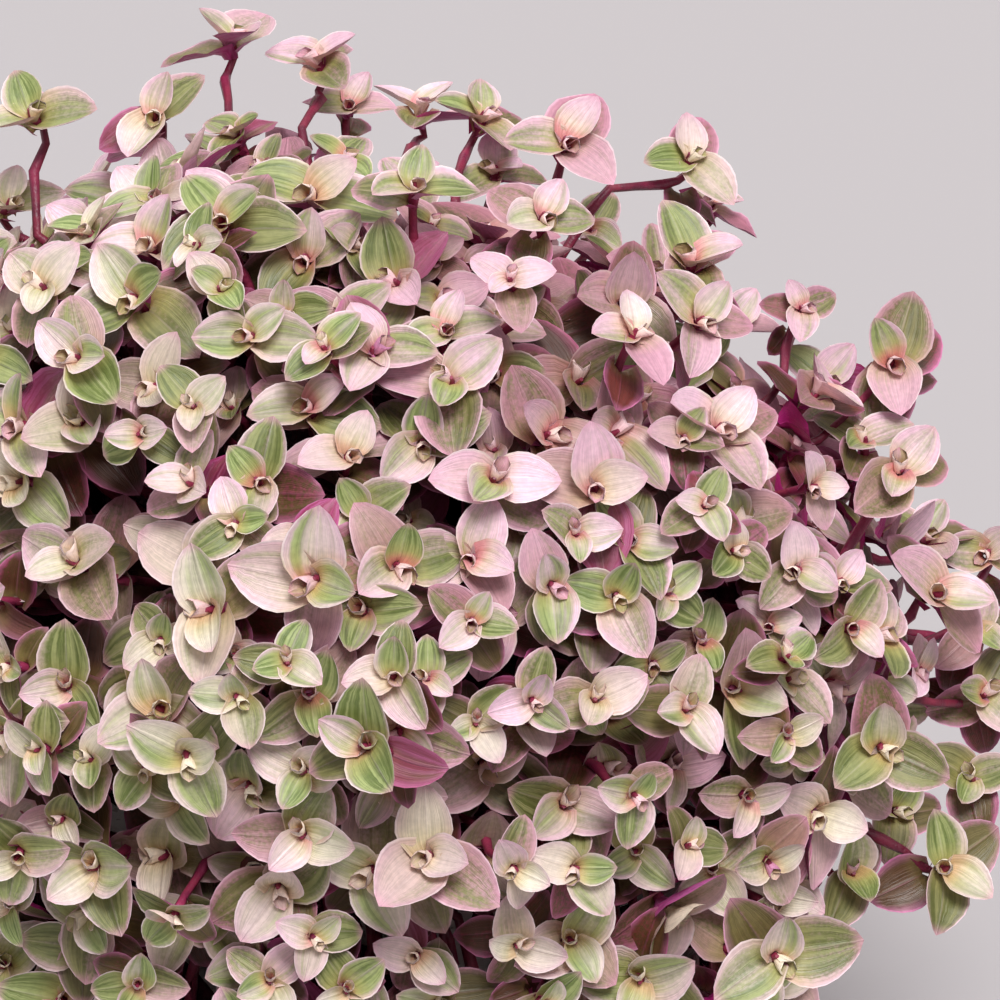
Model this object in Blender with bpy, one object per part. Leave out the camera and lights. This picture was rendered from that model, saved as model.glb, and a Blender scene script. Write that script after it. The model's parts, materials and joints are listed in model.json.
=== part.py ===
"""A pot of turtle vine: a dense mound of small variegated leaves on creeping stems.

Crown sprays stand in the soil and fan out into the mound. Trailing sprays leave the soil near the
rim, bend over it and hang down the outside. Every spray is one solid: its stem swells into a core
of tangled growth, and rosettes of ovate leaves stand out of that core on short shoots. The crown's
cores are wedges round the mound's centre, so they fill it and never meet.
Lengths are metres, +Z is up, the origin is the centre of the pot's foot, and -Y is the front.
"""

import math
import random

import bmesh
import bpy
from mathutils import Matrix, Vector
from mathutils.bvhtree import BVHTree

# The pot
POT_HEIGHT = 0.120
RIM_RADIUS = 0.070
FOOT_RADIUS = 0.050
POT_WALL = 0.004
POT_FLOOR = 0.006
LIP_BAND = 0.012
LIP_PROUD = 0.0022
EDGE_ROUND = 0.0010
FOOT_BEVEL = 0.0015
INNER_ROUND = 0.002
POT_SIDES = 36
DRAIN_RADIUS = 0.005
DRAIN_CIRCLE = 0.026
DRAIN_COUNT = 3
DRAIN_SIDES = 12
SHARP_ANGLE = 30

# The soil, which stops a little under the lip
SOIL_DROP = 0.012
SOIL_EDGE = (0.008, 0.002)
HOLE_DEPTH = 0.012
FIT_GAP = 0.0003

# The mound of leaves
MOUND_CENTRE = Vector((0.0, 0.0, POT_HEIGHT + 0.016))
MOUND_RADIUS = 0.110
MOUND_LUMP = 0.05
GOLDEN_ANGLE = math.radians(137.50776)

# The crown sprays. A core ring is a share of the mound's radius and a share of the wedge's width.
CROWN_SPRAYS = 16
CROWN_LOWEST = math.sin(math.radians(5))
CROWN_HOLE_SPREAD = 0.043
CROWN_UNDERSIDE = POT_HEIGHT + 0.0075
CROWN_NECK = 0.40
CROWN_NECK_RADIUS = 0.0040
CROWN_STEM_RISE = 0.6
CROWN_STEM_POINTS = 3
CROWN_CORE = ((0.56, 0.60), (0.72, 0.95), (0.82, 0.86), (0.865, 0.50))
CORE_GAP = 0.0008
CORE_SIDES = 8

# The crown's rosettes, one in six of which stands out of the mound
CROWN_ROSETTES = 66
ROSETTE_LOWEST = math.sin(math.radians(-7))
ROSETTE_JITTER = 0.06
ROSETTE_REACH = (-0.004, 0.003)
STANDING_OUT_EVERY = 6
STANDING_OUT_REACH = (0.006, 0.014)
SHOOT_ROOT = 0.74
SHOOT_ROOT_INWARDS = 0.4
LIGHT_LEAN = 0.30

# The trailing sprays. The route is radius and height, and the core is half its width and depth.
TRAILING_SPRAYS = 10
TRAILING_ROUTE = (
    (0.0565, POT_HEIGHT - SOIL_DROP - HOLE_DEPTH + 2 * FIT_GAP),
    (0.0565, 0.1130),
    (0.0625, 0.1223),
    (0.0745, 0.1223),
    (0.0835, 0.1090),
    (0.0875, 0.0900),
    (0.0870, 0.0690),
    (0.0850, 0.0560),
)
TRAILING_CORE = ((0.0170, 0.0080), (0.0250, 0.0105), (0.0230, 0.0095), (0.0120, 0.0055))
TRAILING_DROP = (-0.006, 0.008)
TRAILING_ROSETTES = ((0.110, -0.010), (0.098, 0.017), (0.081, -0.016), (0.066, 0.010))
TRAILING_REACH = 0.108
TRAILING_ROOT = 0.7

# Shoots and leaves
STEM_RADIUS = 0.0019
SHOOT_RADIUS = 0.0021
BUD_LENGTH = 0.0065
LEAF_LEVEL = 0.0016
LEAF_LENGTH = (0.0205, 0.0245)
LEAF_WIDTH = 0.64
LEAF_THICKNESS = 0.0007
LEAF_CUP = 0.16
LEAF_DROOP = 0.10
LEAF_OUTLINE = ((0.30, 0.95), (0.66, 0.85))
LOW_PITCH = (2, 12)
HIGH_PITCH = (24, 36)
LEAF_CLEARANCE = 0.0004
LEAF_SHARES = (1.0, 0.85, 0.70, 0.58)
LEAF_LIFTS = (0.0, 0.25, -0.2, 0.5, -0.4)
LEAF_SWINGS = (0.0, 0.35, -0.35)
SEED = 41


def clear_scene():
    for thing in list(bpy.data.objects):
        bpy.data.objects.remove(thing, do_unlink=True)


def make_material(name, colour, roughness):
    material = bpy.data.materials.new(name)
    material.use_nodes = True
    shader = material.node_tree.nodes["Principled BSDF"]
    shader.inputs["Base Color"].default_value = (*colour, 1.0)
    shader.inputs["Roughness"].default_value = roughness
    shader.inputs["Metallic"].default_value = 0.0
    return material


def add_object(name, points, faces, material=None):
    mesh = bpy.data.meshes.new(name)
    mesh.from_pydata([tuple(p) for p in points], [], faces)
    mesh.update()
    if material:
        mesh.materials.append(material)
    thing = bpy.data.objects.new(name, mesh)
    bpy.context.scene.collection.objects.link(thing)
    return thing


def smooth(thing, angle):
    thing.data.shade_smooth()
    thing.data.set_sharp_from_angle(angle=math.radians(angle))


def helper(thing):
    """A cutter or a guide, which is not part of the plant."""
    thing.hide_render = True
    thing.display_type = "WIRE"
    return thing


def apply_boolean(target, operation, other=None, collection=None):
    modifier = target.modifiers.new("join", "BOOLEAN")
    modifier.operation = operation
    modifier.solver = "EXACT"
    if collection:
        modifier.operand_type = "COLLECTION"
        modifier.collection = collection
    else:
        modifier.object = other
    graph = bpy.context.evaluated_depsgraph_get()
    joined = bpy.data.meshes.new_from_object(target.evaluated_get(graph))
    target.modifiers.clear()
    target.data = joined


def turned_solid(name, profile, sides, material):
    """Turns a profile, given as (radius, height) from axis to axis, outer side downwards."""
    profile_object = add_object(
        name,
        [(radius, 0.0, height) for radius, height in profile],
        [],
        material,
    )
    edges = bmesh.new()
    edges.from_mesh(profile_object.data)
    edges.verts.ensure_lookup_table()
    for first, second in zip(edges.verts[:-1], edges.verts[1:]):
        edges.edges.new((first, second))
    edges.to_mesh(profile_object.data)
    edges.free()
    screw = profile_object.modifiers.new("turn", "SCREW")
    screw.steps = sides
    screw.render_steps = sides
    screw.use_merge_vertices = True
    screw.merge_threshold = 0.00005
    screw.use_smooth_shade = True
    return profile_object


def wall_radius(height):
    """The pot's outer radius at a height, without the lip band."""
    return FOOT_RADIUS + (RIM_RADIUS - LIP_PROUD - FOOT_RADIUS) * height / POT_HEIGHT


def make_pot(material):
    """A plain tapered pot with a band under its rim and drain holes in its floor."""
    inner_top = wall_radius(POT_HEIGHT) - POT_WALL
    band_bottom = POT_HEIGHT - LIP_BAND
    profile = [
        (0.0, POT_FLOOR),
        (wall_radius(POT_FLOOR) - POT_WALL - INNER_ROUND, POT_FLOOR),
        (wall_radius(POT_FLOOR) - POT_WALL, POT_FLOOR + INNER_ROUND),
        (inner_top, POT_HEIGHT - EDGE_ROUND),
        (inner_top + EDGE_ROUND, POT_HEIGHT),
        (RIM_RADIUS - EDGE_ROUND, POT_HEIGHT),
        (RIM_RADIUS, POT_HEIGHT - EDGE_ROUND),
        (RIM_RADIUS, band_bottom + EDGE_ROUND),
        (wall_radius(band_bottom), band_bottom - EDGE_ROUND),
        (wall_radius(FOOT_BEVEL), FOOT_BEVEL),
        (FOOT_RADIUS - FOOT_BEVEL, 0.0),
        (0.0, 0.0),
    ]
    pot = turned_solid("pot", profile, POT_SIDES, material)
    apply_boolean(pot, "DIFFERENCE", other=drain_cutter())
    smooth(pot, SHARP_ANGLE)


def drain_cutter():
    cutter = bmesh.new()
    for index in range(DRAIN_COUNT):
        turn = Matrix.Rotation(2 * math.pi * index / DRAIN_COUNT, 4, "Z")
        place = turn @ Matrix.Translation((DRAIN_CIRCLE, 0.0, POT_FLOOR / 2))
        bmesh.ops.create_cone(
            cutter,
            cap_ends=True,
            segments=DRAIN_SIDES,
            radius1=DRAIN_RADIUS,
            radius2=DRAIN_RADIUS,
            depth=3 * POT_FLOOR,
            matrix=place,
        )
    mesh = bpy.data.meshes.new("drain_cutter")
    cutter.to_mesh(mesh)
    cutter.free()
    thing = bpy.data.objects.new("drain_cutter", mesh)
    bpy.context.scene.collection.objects.link(thing)
    return helper(thing)


def ring_axes(direction):
    """Two axes across a direction. A vertical stem has its first axis along X, as its hole has."""
    reference = Vector((1.0, 0.0, 0.0))
    if abs(direction.dot(reference)) > 0.9:
        reference = Vector((0.0, 1.0, 0.0))
    first = (reference - direction * reference.dot(direction)).normalized()
    return first, direction.cross(first)


def tube(points, radius_at, sides):
    """A closed tube through the points. Its radius may differ by point and by the way it faces."""
    verts, faces = [], []
    first, second = ring_axes((points[1] - points[0]).normalized())
    for index, point in enumerate(points):
        ahead = points[min(index + 1, len(points) - 1)] - points[max(index - 1, 0)]
        direction = ahead.normalized()
        first = (first - direction * first.dot(direction)).normalized()
        second = direction.cross(first)
        for side in range(sides):
            angle = 2 * math.pi * side / sides
            way = math.cos(angle) * first + math.sin(angle) * second
            verts.append(point + way * radius_at(index, way))
    for ring in range(len(points) - 1):
        for side in range(sides):
            low, low_next = ring * sides + side, ring * sides + (side + 1) % sides
            faces.append((low, low_next, low_next + sides, low + sides))
    faces.append(tuple(reversed(range(sides))))
    top = (len(points) - 1) * sides
    faces.append(tuple(range(top, top + sides)))
    return verts, faces


def blade_outline(root, along, up, length, grow=0.0):
    """The edge of an ovate leaf, round from its root, with raised sides and a drooping point."""
    across = up.cross(along)
    half = LEAF_WIDTH * length / 2 + grow
    places = [(share, -side) for share, side in LEAF_OUTLINE]
    places += [(1.0, 0.0)]
    places += [(share, side) for share, side in reversed(LEAF_OUTLINE)]
    edge = []
    for share, side in places:
        rise = LEAF_CUP * abs(side) * half - LEAF_DROOP * length * share**2
        edge.append(root + along * share * (length + grow) + across * side * half + up * rise)
    return edge


def blade_faces(tops, bottoms):
    """Faces of a blade from the numbers of its points, root, edge and root. It is open at the root."""
    faces = []
    for points, turned in ((tops, False), (bottoms, True)):
        first, last, tip = points[0], points[-1], points[len(points) // 2]
        fans = [(first, tip, last), (first, points[1], points[2]), (first, points[2], tip)]
        fans += [(last, tip, points[-3]), (last, points[-3], points[-2])]
        faces += [fan[::-1] if turned else fan for fan in fans]
    for index in range(len(tops) - 1):
        low, low_next = bottoms[index], bottoms[index + 1]
        high, high_next = tops[index], tops[index + 1]
        faces += [(low, low_next, high_next), (low, high_next, high)]
    return faces


def test_blade(root, along, up, length):
    """A slightly larger closed blade, clear of the shoot, which shows whether a leaf has room."""
    across = up.cross(along)
    near = root + along * 2 * LEAF_CLEARANCE
    reach = SHOOT_RADIUS / 2
    rim = blade_outline(root, along, up, length, LEAF_CLEARANCE)
    rim = [near - across * reach] + rim + [near + across * reach]
    tops = [point + up * LEAF_CLEARANCE for point in rim]
    bottoms = [point - up * (LEAF_THICKNESS + LEAF_CLEARANCE) for point in rim]
    count = len(rim)
    faces = blade_faces(list(range(count)), list(range(count, 2 * count)))
    return BVHTree.FromPolygons(tops + bottoms, faces)


def mound_radius(direction):
    """The mound isn't a ball: its surface swells and sinks a little from place to place."""
    azimuth = math.atan2(direction.y, direction.x)
    wave = math.sin(3 * azimuth + 0.6) * math.cos(2.2 * direction.z)
    wave += 0.7 * math.sin(5 * azimuth + 4 * direction.z + 2.0)
    return MOUND_RADIUS * (1 + MOUND_LUMP * wave / 1.7)


def curve_points(start, pull, end, count):
    """A stem that leaves along its first leg and arrives along its second."""
    places = []
    for index in range(1, count):
        share = index / count
        places.append((1 - share) ** 2 * start + 2 * share * (1 - share) * pull + share**2 * end)
    return places


def spread_heading(index, count, lowest):
    """The headings of a golden spiral, from straight up down to the lowest."""
    height = 1 - (index + 0.5) / count * (1 - lowest)
    across = math.sqrt(1 - height**2)
    azimuth = index * GOLDEN_ANGLE
    return Vector((math.cos(azimuth) * across, math.sin(azimuth) * across, height))


def make_shoot(start, tip, leaves):
    """A shoot points away from the mound's middle and turns up towards the light."""
    outwards = (tip - MOUND_CENTRE).normalized()
    direction = (outwards + Vector((0.0, 0.0, LIGHT_LEAN))).normalized()
    return {"start": start, "tip": tip, "direction": direction, "leaves": leaves}


def wedge_width(heading, headings, depth, way):
    """How far a crown core may reach one way at a depth before it meets the next spray's share."""
    limits = []
    for other in headings:
        if way.dot(other) > 0.01 and other is not heading:
            limits.append(depth * (1 - heading.dot(other)) / way.dot(other))
    if way.z < 0:
        limits.append((MOUND_CENTRE.z + heading.z * depth - CROWN_UNDERSIDE) / -way.z)
    return min(limits) - CORE_GAP


def crown_core(heading, headings):
    """A stem from its hole in the soil to the mound's middle, and a wedge from there outwards."""
    spread = CROWN_HOLE_SPREAD * math.acos(heading.z) / (math.pi / 2)
    flat = Vector((heading.x, heading.y, 0.0)).normalized()
    hole = flat * spread
    hole.z = POT_HEIGHT - SOIL_DROP - HOLE_DEPTH + 2 * FIT_GAP
    soil_top = hole + Vector((0.0, 0.0, HOLE_DEPTH + STEM_RADIUS))
    reach = mound_radius(heading)
    neck = MOUND_CENTRE + heading * CROWN_NECK * reach
    pull = soil_top + Vector((0.0, 0.0, CROWN_STEM_RISE * (neck.z - soil_top.z)))
    axis = [hole, soil_top] + curve_points(soil_top, pull, neck, CROWN_STEM_POINTS) + [neck]
    stem_rings = len(axis) - 1
    axis += [MOUND_CENTRE + heading * share * reach for share, width in CROWN_CORE]

    def radius_at(index, way):
        if index < stem_rings:
            return STEM_RADIUS
        if index == stem_rings:
            return CROWN_NECK_RADIUS
        share, width = CROWN_CORE[index - stem_rings - 1]
        return width * wedge_width(heading, headings, share * reach, way)

    return {"foot": hole, "core": tube(axis, radius_at, CORE_SIDES), "shoots": []}


def crown_plan(chance):
    """The crown's cores, and its rosettes, each on the core that points nearest to it."""
    headings = [spread_heading(index, CROWN_SPRAYS, CROWN_LOWEST) for index in range(CROWN_SPRAYS)]
    sprays = [crown_core(heading, headings) for heading in headings]
    for index in range(CROWN_ROSETTES):
        outwards = spread_heading(index, CROWN_ROSETTES, ROSETTE_LOWEST)
        outwards += Vector([chance.uniform(-ROSETTE_JITTER, ROSETTE_JITTER) for axis in range(3)])
        outwards.normalize()
        reach = mound_radius(outwards) + chance.uniform(*ROSETTE_REACH)
        if index % STANDING_OUT_EVERY == 0:
            reach += chance.uniform(*STANDING_OUT_REACH)
        nearest = max(range(CROWN_SPRAYS), key=lambda each: headings[each].dot(outwards))
        root = outwards.lerp(headings[nearest], SHOOT_ROOT_INWARDS).normalized()
        start = MOUND_CENTRE + root * SHOOT_ROOT * mound_radius(headings[nearest])
        shoot = make_shoot(start, MOUND_CENTRE + outwards * reach, 4)
        sprays[nearest]["shoots"].append(shoot)
    for index, spray in enumerate(sprays):
        spray["name"] = f"crown_spray_{index + 1:02d}"
    return sprays


def trailing_spray(azimuth, drop):
    """A stem over the rim that widens into a flat core, with rosettes on its outer side."""
    outwards = Vector((math.cos(azimuth), math.sin(azimuth), 0.0))
    aside = Vector((-outwards.y, outwards.x, 0.0))
    stem_rings = len(TRAILING_ROUTE) - len(TRAILING_CORE)
    axis = []
    for index, (radius, height) in enumerate(TRAILING_ROUTE):
        lower = drop * max(0, index - stem_rings) / len(TRAILING_CORE)
        axis.append(outwards * radius + Vector((0.0, 0.0, height - lower)))

    def radius_at(index, way):
        if index < stem_rings:
            return STEM_RADIUS
        width, depth = TRAILING_CORE[index - stem_rings]
        return 1 / math.hypot(way.dot(aside) / width, math.sqrt(1 - way.dot(aside) ** 2) / depth)

    shoots = []
    core_top, core_end = axis[stem_rings], axis[-1]
    for height, shift in TRAILING_ROSETTES:
        share = (core_top.z - height) / (core_top.z - core_end.z)
        foot = core_top.lerp(core_end, share) + aside * shift * TRAILING_ROOT
        tip = outwards * TRAILING_REACH + aside * shift
        tip.z = foot.z
        shoots.append(make_shoot(foot, tip, 3))
    return {"foot": axis[0], "core": tube(axis, radius_at, CORE_SIDES), "shoots": shoots}


def trailing_plan(chance):
    sprays = []
    for index in range(TRAILING_SPRAYS):
        azimuth = 2 * math.pi * (index + 0.5) / TRAILING_SPRAYS
        spray = trailing_spray(azimuth, chance.uniform(*TRAILING_DROP))
        spray["name"] = f"trailing_spray_{index + 1:02d}"
        sprays.append(spray)
    return sprays


def shoot_rings(shoot, turn):
    """Four square rings of a short shoot: its root in the core, two leaf levels and the bud's foot."""
    start, tip, direction = shoot["start"], shoot["tip"], shoot["direction"]
    seats = [tip - direction * (BUD_LENGTH + level * LEAF_LEVEL) for level in (2, 1, 0)]
    centres = [start] + seats
    ways = [(seats[0] - start).normalized()] + [direction] * 3
    points = []
    reference = ring_axes(direction)[0]
    for centre, way in zip(centres, ways):
        first = (reference - way * reference.dot(way)).normalized()
        second = way.cross(first)
        for side in range(4):
            angle = turn + (side - 0.5) * math.pi / 2
            points.append(centre + SHOOT_RADIUS * (math.cos(angle) * first + math.sin(angle) * second))
    return points


def leaf_frame(points, level, side, direction, swing, pitch):
    """Where a leaf grows from one side of the shoot, and the way it points."""
    low, low_next = points[4 * level + side], points[4 * level + (side + 1) % 4]
    high, high_next = points[4 * level + 4 + side], points[4 * level + 4 + (side + 1) % 4]
    root = (low + low_next + high + high_next) / 4
    across = (low_next - low).normalized()
    away = across.cross(direction)
    away = math.cos(swing) * away + math.sin(swing) * across
    along = math.cos(pitch) * away + math.sin(pitch) * direction
    up = math.cos(pitch) * direction - math.sin(pitch) * away
    return root, along, up


def leaf_choices(points, level, side, direction, chance):
    """The ways tried for a leaf, best first: swung aside, raised or lowered, and then shorter."""
    length = chance.uniform(*LEAF_LENGTH)
    swing = chance.uniform(-0.2, 0.2)
    pitch = math.radians(chance.uniform(*(HIGH_PITCH if level == 2 else LOW_PITCH)))
    for share in LEAF_SHARES:
        for lift in LEAF_LIFTS:
            for more in LEAF_SWINGS:
                frame = leaf_frame(points, level, side, direction, swing + more, pitch + lift)
                yield (*frame, length * share)


def shoot_solid(shoot, turn, leaves):
    """A short shoot with a pointed bud. Each leaf takes the place of one face of the shoot's side."""
    points = shoot_rings(shoot, turn)
    faces = [(3, 2, 1, 0)]
    for level in range(3):
        for side in range(4):
            low, low_next = 4 * level + side, 4 * level + (side + 1) % 4
            high, high_next = low + 4, low_next + 4
            if (level, side) not in leaves:
                faces.append((low, low_next, high_next, high))
                continue
            root, along, up, length = leaves[level, side]
            edge = blade_outline(root, along, up, length)
            count = len(points)
            points += edge + [point - up * LEAF_THICKNESS for point in edge]
            tops = [high] + list(range(count, count + len(edge))) + [high_next]
            middle = count + len(edge)
            bottoms = [low] + list(range(middle, middle + len(edge))) + [low_next]
            faces += blade_faces(tops, bottoms)
    points.append(shoot["tip"])
    tip = len(points) - 1
    faces += [(12 + side, 12 + (side + 1) % 4, tip) for side in range(4)]
    return points, faces


def join_solids(name, solids, material):
    """One Boolean union fuses a spray's core, shoots and leaves."""
    body = add_object(name, *solids[0], material)
    group = bpy.data.collections.new(name + "_pieces")
    bpy.context.scene.collection.children.link(group)
    pieces = []
    for points, faces in solids[1:]:
        piece = add_object(name + "_piece", points, faces)
        bpy.context.scene.collection.objects.unlink(piece)
        group.objects.link(piece)
        pieces.append(piece)
    apply_boolean(body, "UNION", collection=group)
    for piece in pieces:
        bpy.data.objects.remove(piece, do_unlink=True)
    bpy.data.collections.remove(group)
    body.data.materials.clear()
    body.data.materials.append(material)
    return body


def grow_shoot(shoot, spray, sprays, taken, chance):
    """Gives a shoot its leaves: each takes the first way in which it meets nothing else."""
    turn = chance.uniform(0, 2 * math.pi)
    points = shoot_rings(shoot, turn)
    places = [(1, 0), (1, 2), (2, 1), (2, 3)][: shoot["leaves"]]
    leaves, own = {}, []
    for level, side in places:
        for choice in leaf_choices(points, level, side, shoot["direction"], chance):
            test = test_blade(*choice)
            if clear_of(test, shoot, spray, sprays) and not any(map(test.overlap, taken + own)):
                leaves[level, side] = choice
                own.append(test)
                break
    taken += own
    return shoot_solid(shoot, turn, leaves)


def clear_of(test, shoot, spray, sprays):
    """True where a leaf meets no core or stem, its own spray's too, and no shoot but its own."""
    for other in sprays:
        if test.overlap(other["core_tree"]):
            return False
        for each in other["shoots"]:
            if each is not shoot and test.overlap(each["tree"]):
                return False
    return True


def make_sprays(material):
    """Grows every spray's leaves, then fuses its core and shoots into one solid."""
    chance = random.Random(SEED)
    sprays = crown_plan(chance) + trailing_plan(chance)
    for spray in sprays:
        spray["core_tree"] = BVHTree.FromPolygons(*spray["core"])
        for shoot in spray["shoots"]:
            shoot["tree"] = BVHTree.FromPolygons(*shoot_solid(shoot, 0.0, {}))
    taken = []
    for spray in sprays:
        shoots = [grow_shoot(shoot, spray, sprays, taken, chance) for shoot in spray["shoots"]]
        join_solids(spray["name"], [spray["core"]] + shoots, material)
    print(len(taken), "leaves on", len(sprays), "sprays")
    return sprays


def make_soil(sprays, material):
    """Soil that fills the pot, with a plain hole for each stem."""
    top = POT_HEIGHT - SOIL_DROP
    inner_low = wall_radius(POT_FLOOR) - POT_WALL - FIT_GAP
    inner_high = wall_radius(top) - POT_WALL - FIT_GAP
    profile = [
        (0.0, top),
        (inner_high - SOIL_EDGE[0], top),
        (inner_high, top - SOIL_EDGE[1]),
        (inner_low, POT_FLOOR + INNER_ROUND + FIT_GAP),
        (inner_low - INNER_ROUND, POT_FLOOR + FIT_GAP),
        (0.0, POT_FLOOR + FIT_GAP),
    ]
    soil = turned_solid("soil", profile, POT_SIDES, material)
    cutter = bmesh.new()
    hole_radius = STEM_RADIUS + FIT_GAP / math.cos(math.pi / CORE_SIDES)
    for spray in sprays:
        foot = spray["foot"]
        place = Matrix.Translation((foot.x, foot.y, foot.z - FIT_GAP + HOLE_DEPTH))
        bmesh.ops.create_cone(
            cutter,
            cap_ends=True,
            segments=CORE_SIDES,
            radius1=hole_radius,
            radius2=hole_radius,
            depth=2 * HOLE_DEPTH,
            matrix=place @ Matrix.Rotation(math.pi / 2, 4, "Z"),
        )
    mesh = bpy.data.meshes.new("stem_holes")
    cutter.to_mesh(mesh)
    cutter.free()
    holes = bpy.data.objects.new("stem_holes", mesh)
    bpy.context.scene.collection.objects.link(holes)
    apply_boolean(soil, "DIFFERENCE", other=helper(holes))
    smooth(soil, SHARP_ANGLE)


def main():
    clear_scene()
    pot_material = make_material("pot", (0.72, 0.70, 0.67), 0.55)
    soil_material = make_material("soil", (0.06, 0.045, 0.035), 0.95)
    leaf_material = make_material("leaf", (0.50, 0.42, 0.38), 0.45)
    make_pot(pot_material)
    sprays = make_sprays(leaf_material)
    make_soil(sprays, soil_material)


main()
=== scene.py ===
import json
import math
import random
from functools import partial

import bmesh
import bpy
import numpy as np
from mathutils import Matrix, Vector, kdtree, noise

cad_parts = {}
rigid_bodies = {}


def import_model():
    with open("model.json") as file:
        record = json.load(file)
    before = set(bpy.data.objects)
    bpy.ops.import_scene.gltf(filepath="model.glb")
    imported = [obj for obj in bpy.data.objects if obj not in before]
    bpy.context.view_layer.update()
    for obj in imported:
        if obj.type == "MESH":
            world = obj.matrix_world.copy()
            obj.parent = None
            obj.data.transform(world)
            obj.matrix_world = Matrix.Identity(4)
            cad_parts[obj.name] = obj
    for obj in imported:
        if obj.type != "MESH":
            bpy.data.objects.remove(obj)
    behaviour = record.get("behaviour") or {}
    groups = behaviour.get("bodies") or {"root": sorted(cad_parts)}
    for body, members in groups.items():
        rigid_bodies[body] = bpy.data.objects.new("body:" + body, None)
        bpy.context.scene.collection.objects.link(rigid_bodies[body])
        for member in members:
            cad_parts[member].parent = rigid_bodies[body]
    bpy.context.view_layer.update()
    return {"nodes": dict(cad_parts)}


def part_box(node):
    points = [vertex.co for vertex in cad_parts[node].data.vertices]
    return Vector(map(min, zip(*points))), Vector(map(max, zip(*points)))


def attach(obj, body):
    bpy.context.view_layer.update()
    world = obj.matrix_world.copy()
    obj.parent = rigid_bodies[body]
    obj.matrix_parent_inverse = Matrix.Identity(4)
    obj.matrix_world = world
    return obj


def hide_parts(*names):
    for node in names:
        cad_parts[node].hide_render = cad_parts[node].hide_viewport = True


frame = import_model()
scene = bpy.context.scene
print("frame loaded:", len(frame["nodes"]), "nodes")

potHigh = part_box("pot")[1]
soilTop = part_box("soil")[1].z
moundRise = 0.016  # from the pot's rim to the mound's middle
moundCentre = Vector((0.0, 0.0, potHigh.z + moundRise))

# the camera stands in front and a little above, as in the photo
view = {
    "imageSize": 1000,  # pixels a side
    "moundPixel": (370, 620),  # where the mound's middle shows in the photo
    "elevation": 28,  # degrees
    "distance": 1.20,
    "lens": 222,
    "sensor": 36,
}
tilt = math.radians(view["elevation"])
viewRight = Vector((1.0, 0.0, 0.0))
viewUp = Vector((0.0, math.sin(tilt), math.cos(tilt)))
viewBack = Vector((0.0, -math.cos(tilt), math.sin(tilt)))
pixelSize = view["distance"] * view["sensor"] / view["lens"] / view["imageSize"]
halfImage = view["imageSize"] / 2
aimPoint = moundCentre + viewRight * (halfImage - view["moundPixel"][0]) * pixelSize
aimPoint += viewUp * (view["moundPixel"][1] - halfImage) * pixelSize


def placeOfPixel(across, down, nearer=0.0):
    # the point that shows at a pixel, on the upright plane through the mound's middle or nearer
    flat = viewRight * (across - halfImage) + viewUp * (halfImage - down)
    scale = (view["distance"] - nearer) / view["distance"]
    return aimPoint + flat * pixelSize * scale + viewBack * nearer


def addObject(name, data):
    made = bpy.data.objects.new(name, data)
    scene.collection.objects.link(made)
    return made


def makeCamera():
    camera = addObject("camera", bpy.data.cameras.new("camera"))
    camera.data.lens = view["lens"]
    camera.data.sensor_width = view["sensor"]
    camera.data.clip_start = 0.01
    camera.location = aimPoint + viewBack * view["distance"]
    camera.rotation_mode = "QUATERNION"
    camera.rotation_quaternion = (-viewBack).to_track_quat("-Z", "Y")
    scene.camera = camera


# node helpers, for shader and geometry trees alike
def plug(tree, socket, value):
    if isinstance(value, bpy.types.NodeSocket):
        tree.links.new(value, socket)
    else:
        socket.default_value = value


def addNode(tree, kind, inputs=None, **settings):
    made = tree.nodes.new(kind)
    for setting, value in settings.items():
        setattr(made, setting, value)
    for socket, value in (inputs or {}).items():
        plug(tree, made.inputs[socket], value)
    return made


def maths(tree, operation, first, second=0.0):
    return addNode(tree, "ShaderNodeMath", {0: first, 1: second}, operation=operation).outputs[0]


def ramp(tree, value, low, high, start=0.0, end=1.0):
    inputs = {"Value": value, "From Min": low, "From Max": high, "To Min": start, "To Max": end}
    made = addNode(tree, "ShaderNodeMapRange", inputs, interpolation_type="SMOOTHSTEP")
    return made.outputs["Result"]


def mixColour(tree, share, first, second, blend="MIX"):
    inputs = {0: share, 6: first, 7: second}
    made = addNode(tree, "ShaderNodeMix", inputs, data_type="RGBA", blend_type=blend)
    return made.outputs[2]


def attribute(tree, name):
    return addNode(tree, "ShaderNodeAttribute", attribute_name=name).outputs["Fac"]


def paint(red, green, blue):
    # screen levels, 0 to 255, to a linear colour
    levels = []
    for level in (red, green, blue):
        share = level / 255
        levels.append(share / 12.92 if share <= 0.04045 else ((share + 0.055) / 1.055) ** 2.4)
    return (*levels, 1.0)


def newGroup(name, kind, inputs, outputs):
    tree = bpy.data.node_groups.new(name, kind)
    for label, socket, value in inputs:
        made = tree.interface.new_socket(label, in_out="INPUT", socket_type="NodeSocket" + socket)
        if value is not None:
            made.default_value = value
    for label, socket in outputs:
        tree.interface.new_socket(label, in_out="OUTPUT", socket_type="NodeSocket" + socket)
    return tree, tree.nodes.new("NodeGroupInput").outputs, tree.nodes.new("NodeGroupOutput").inputs


def useGroup(tree, group, inputs):
    made = tree.nodes.new("ShaderNodeGroup")
    made.node_tree = group
    for label, value in inputs.items():
        plug(tree, made.inputs[label], value)
    return made.outputs[0]


def newMaterial(name):
    material = bpy.data.materials.new(name)
    material.use_nodes = True
    return material, material.node_tree, material.node_tree.nodes["Principled BSDF"]


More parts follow.
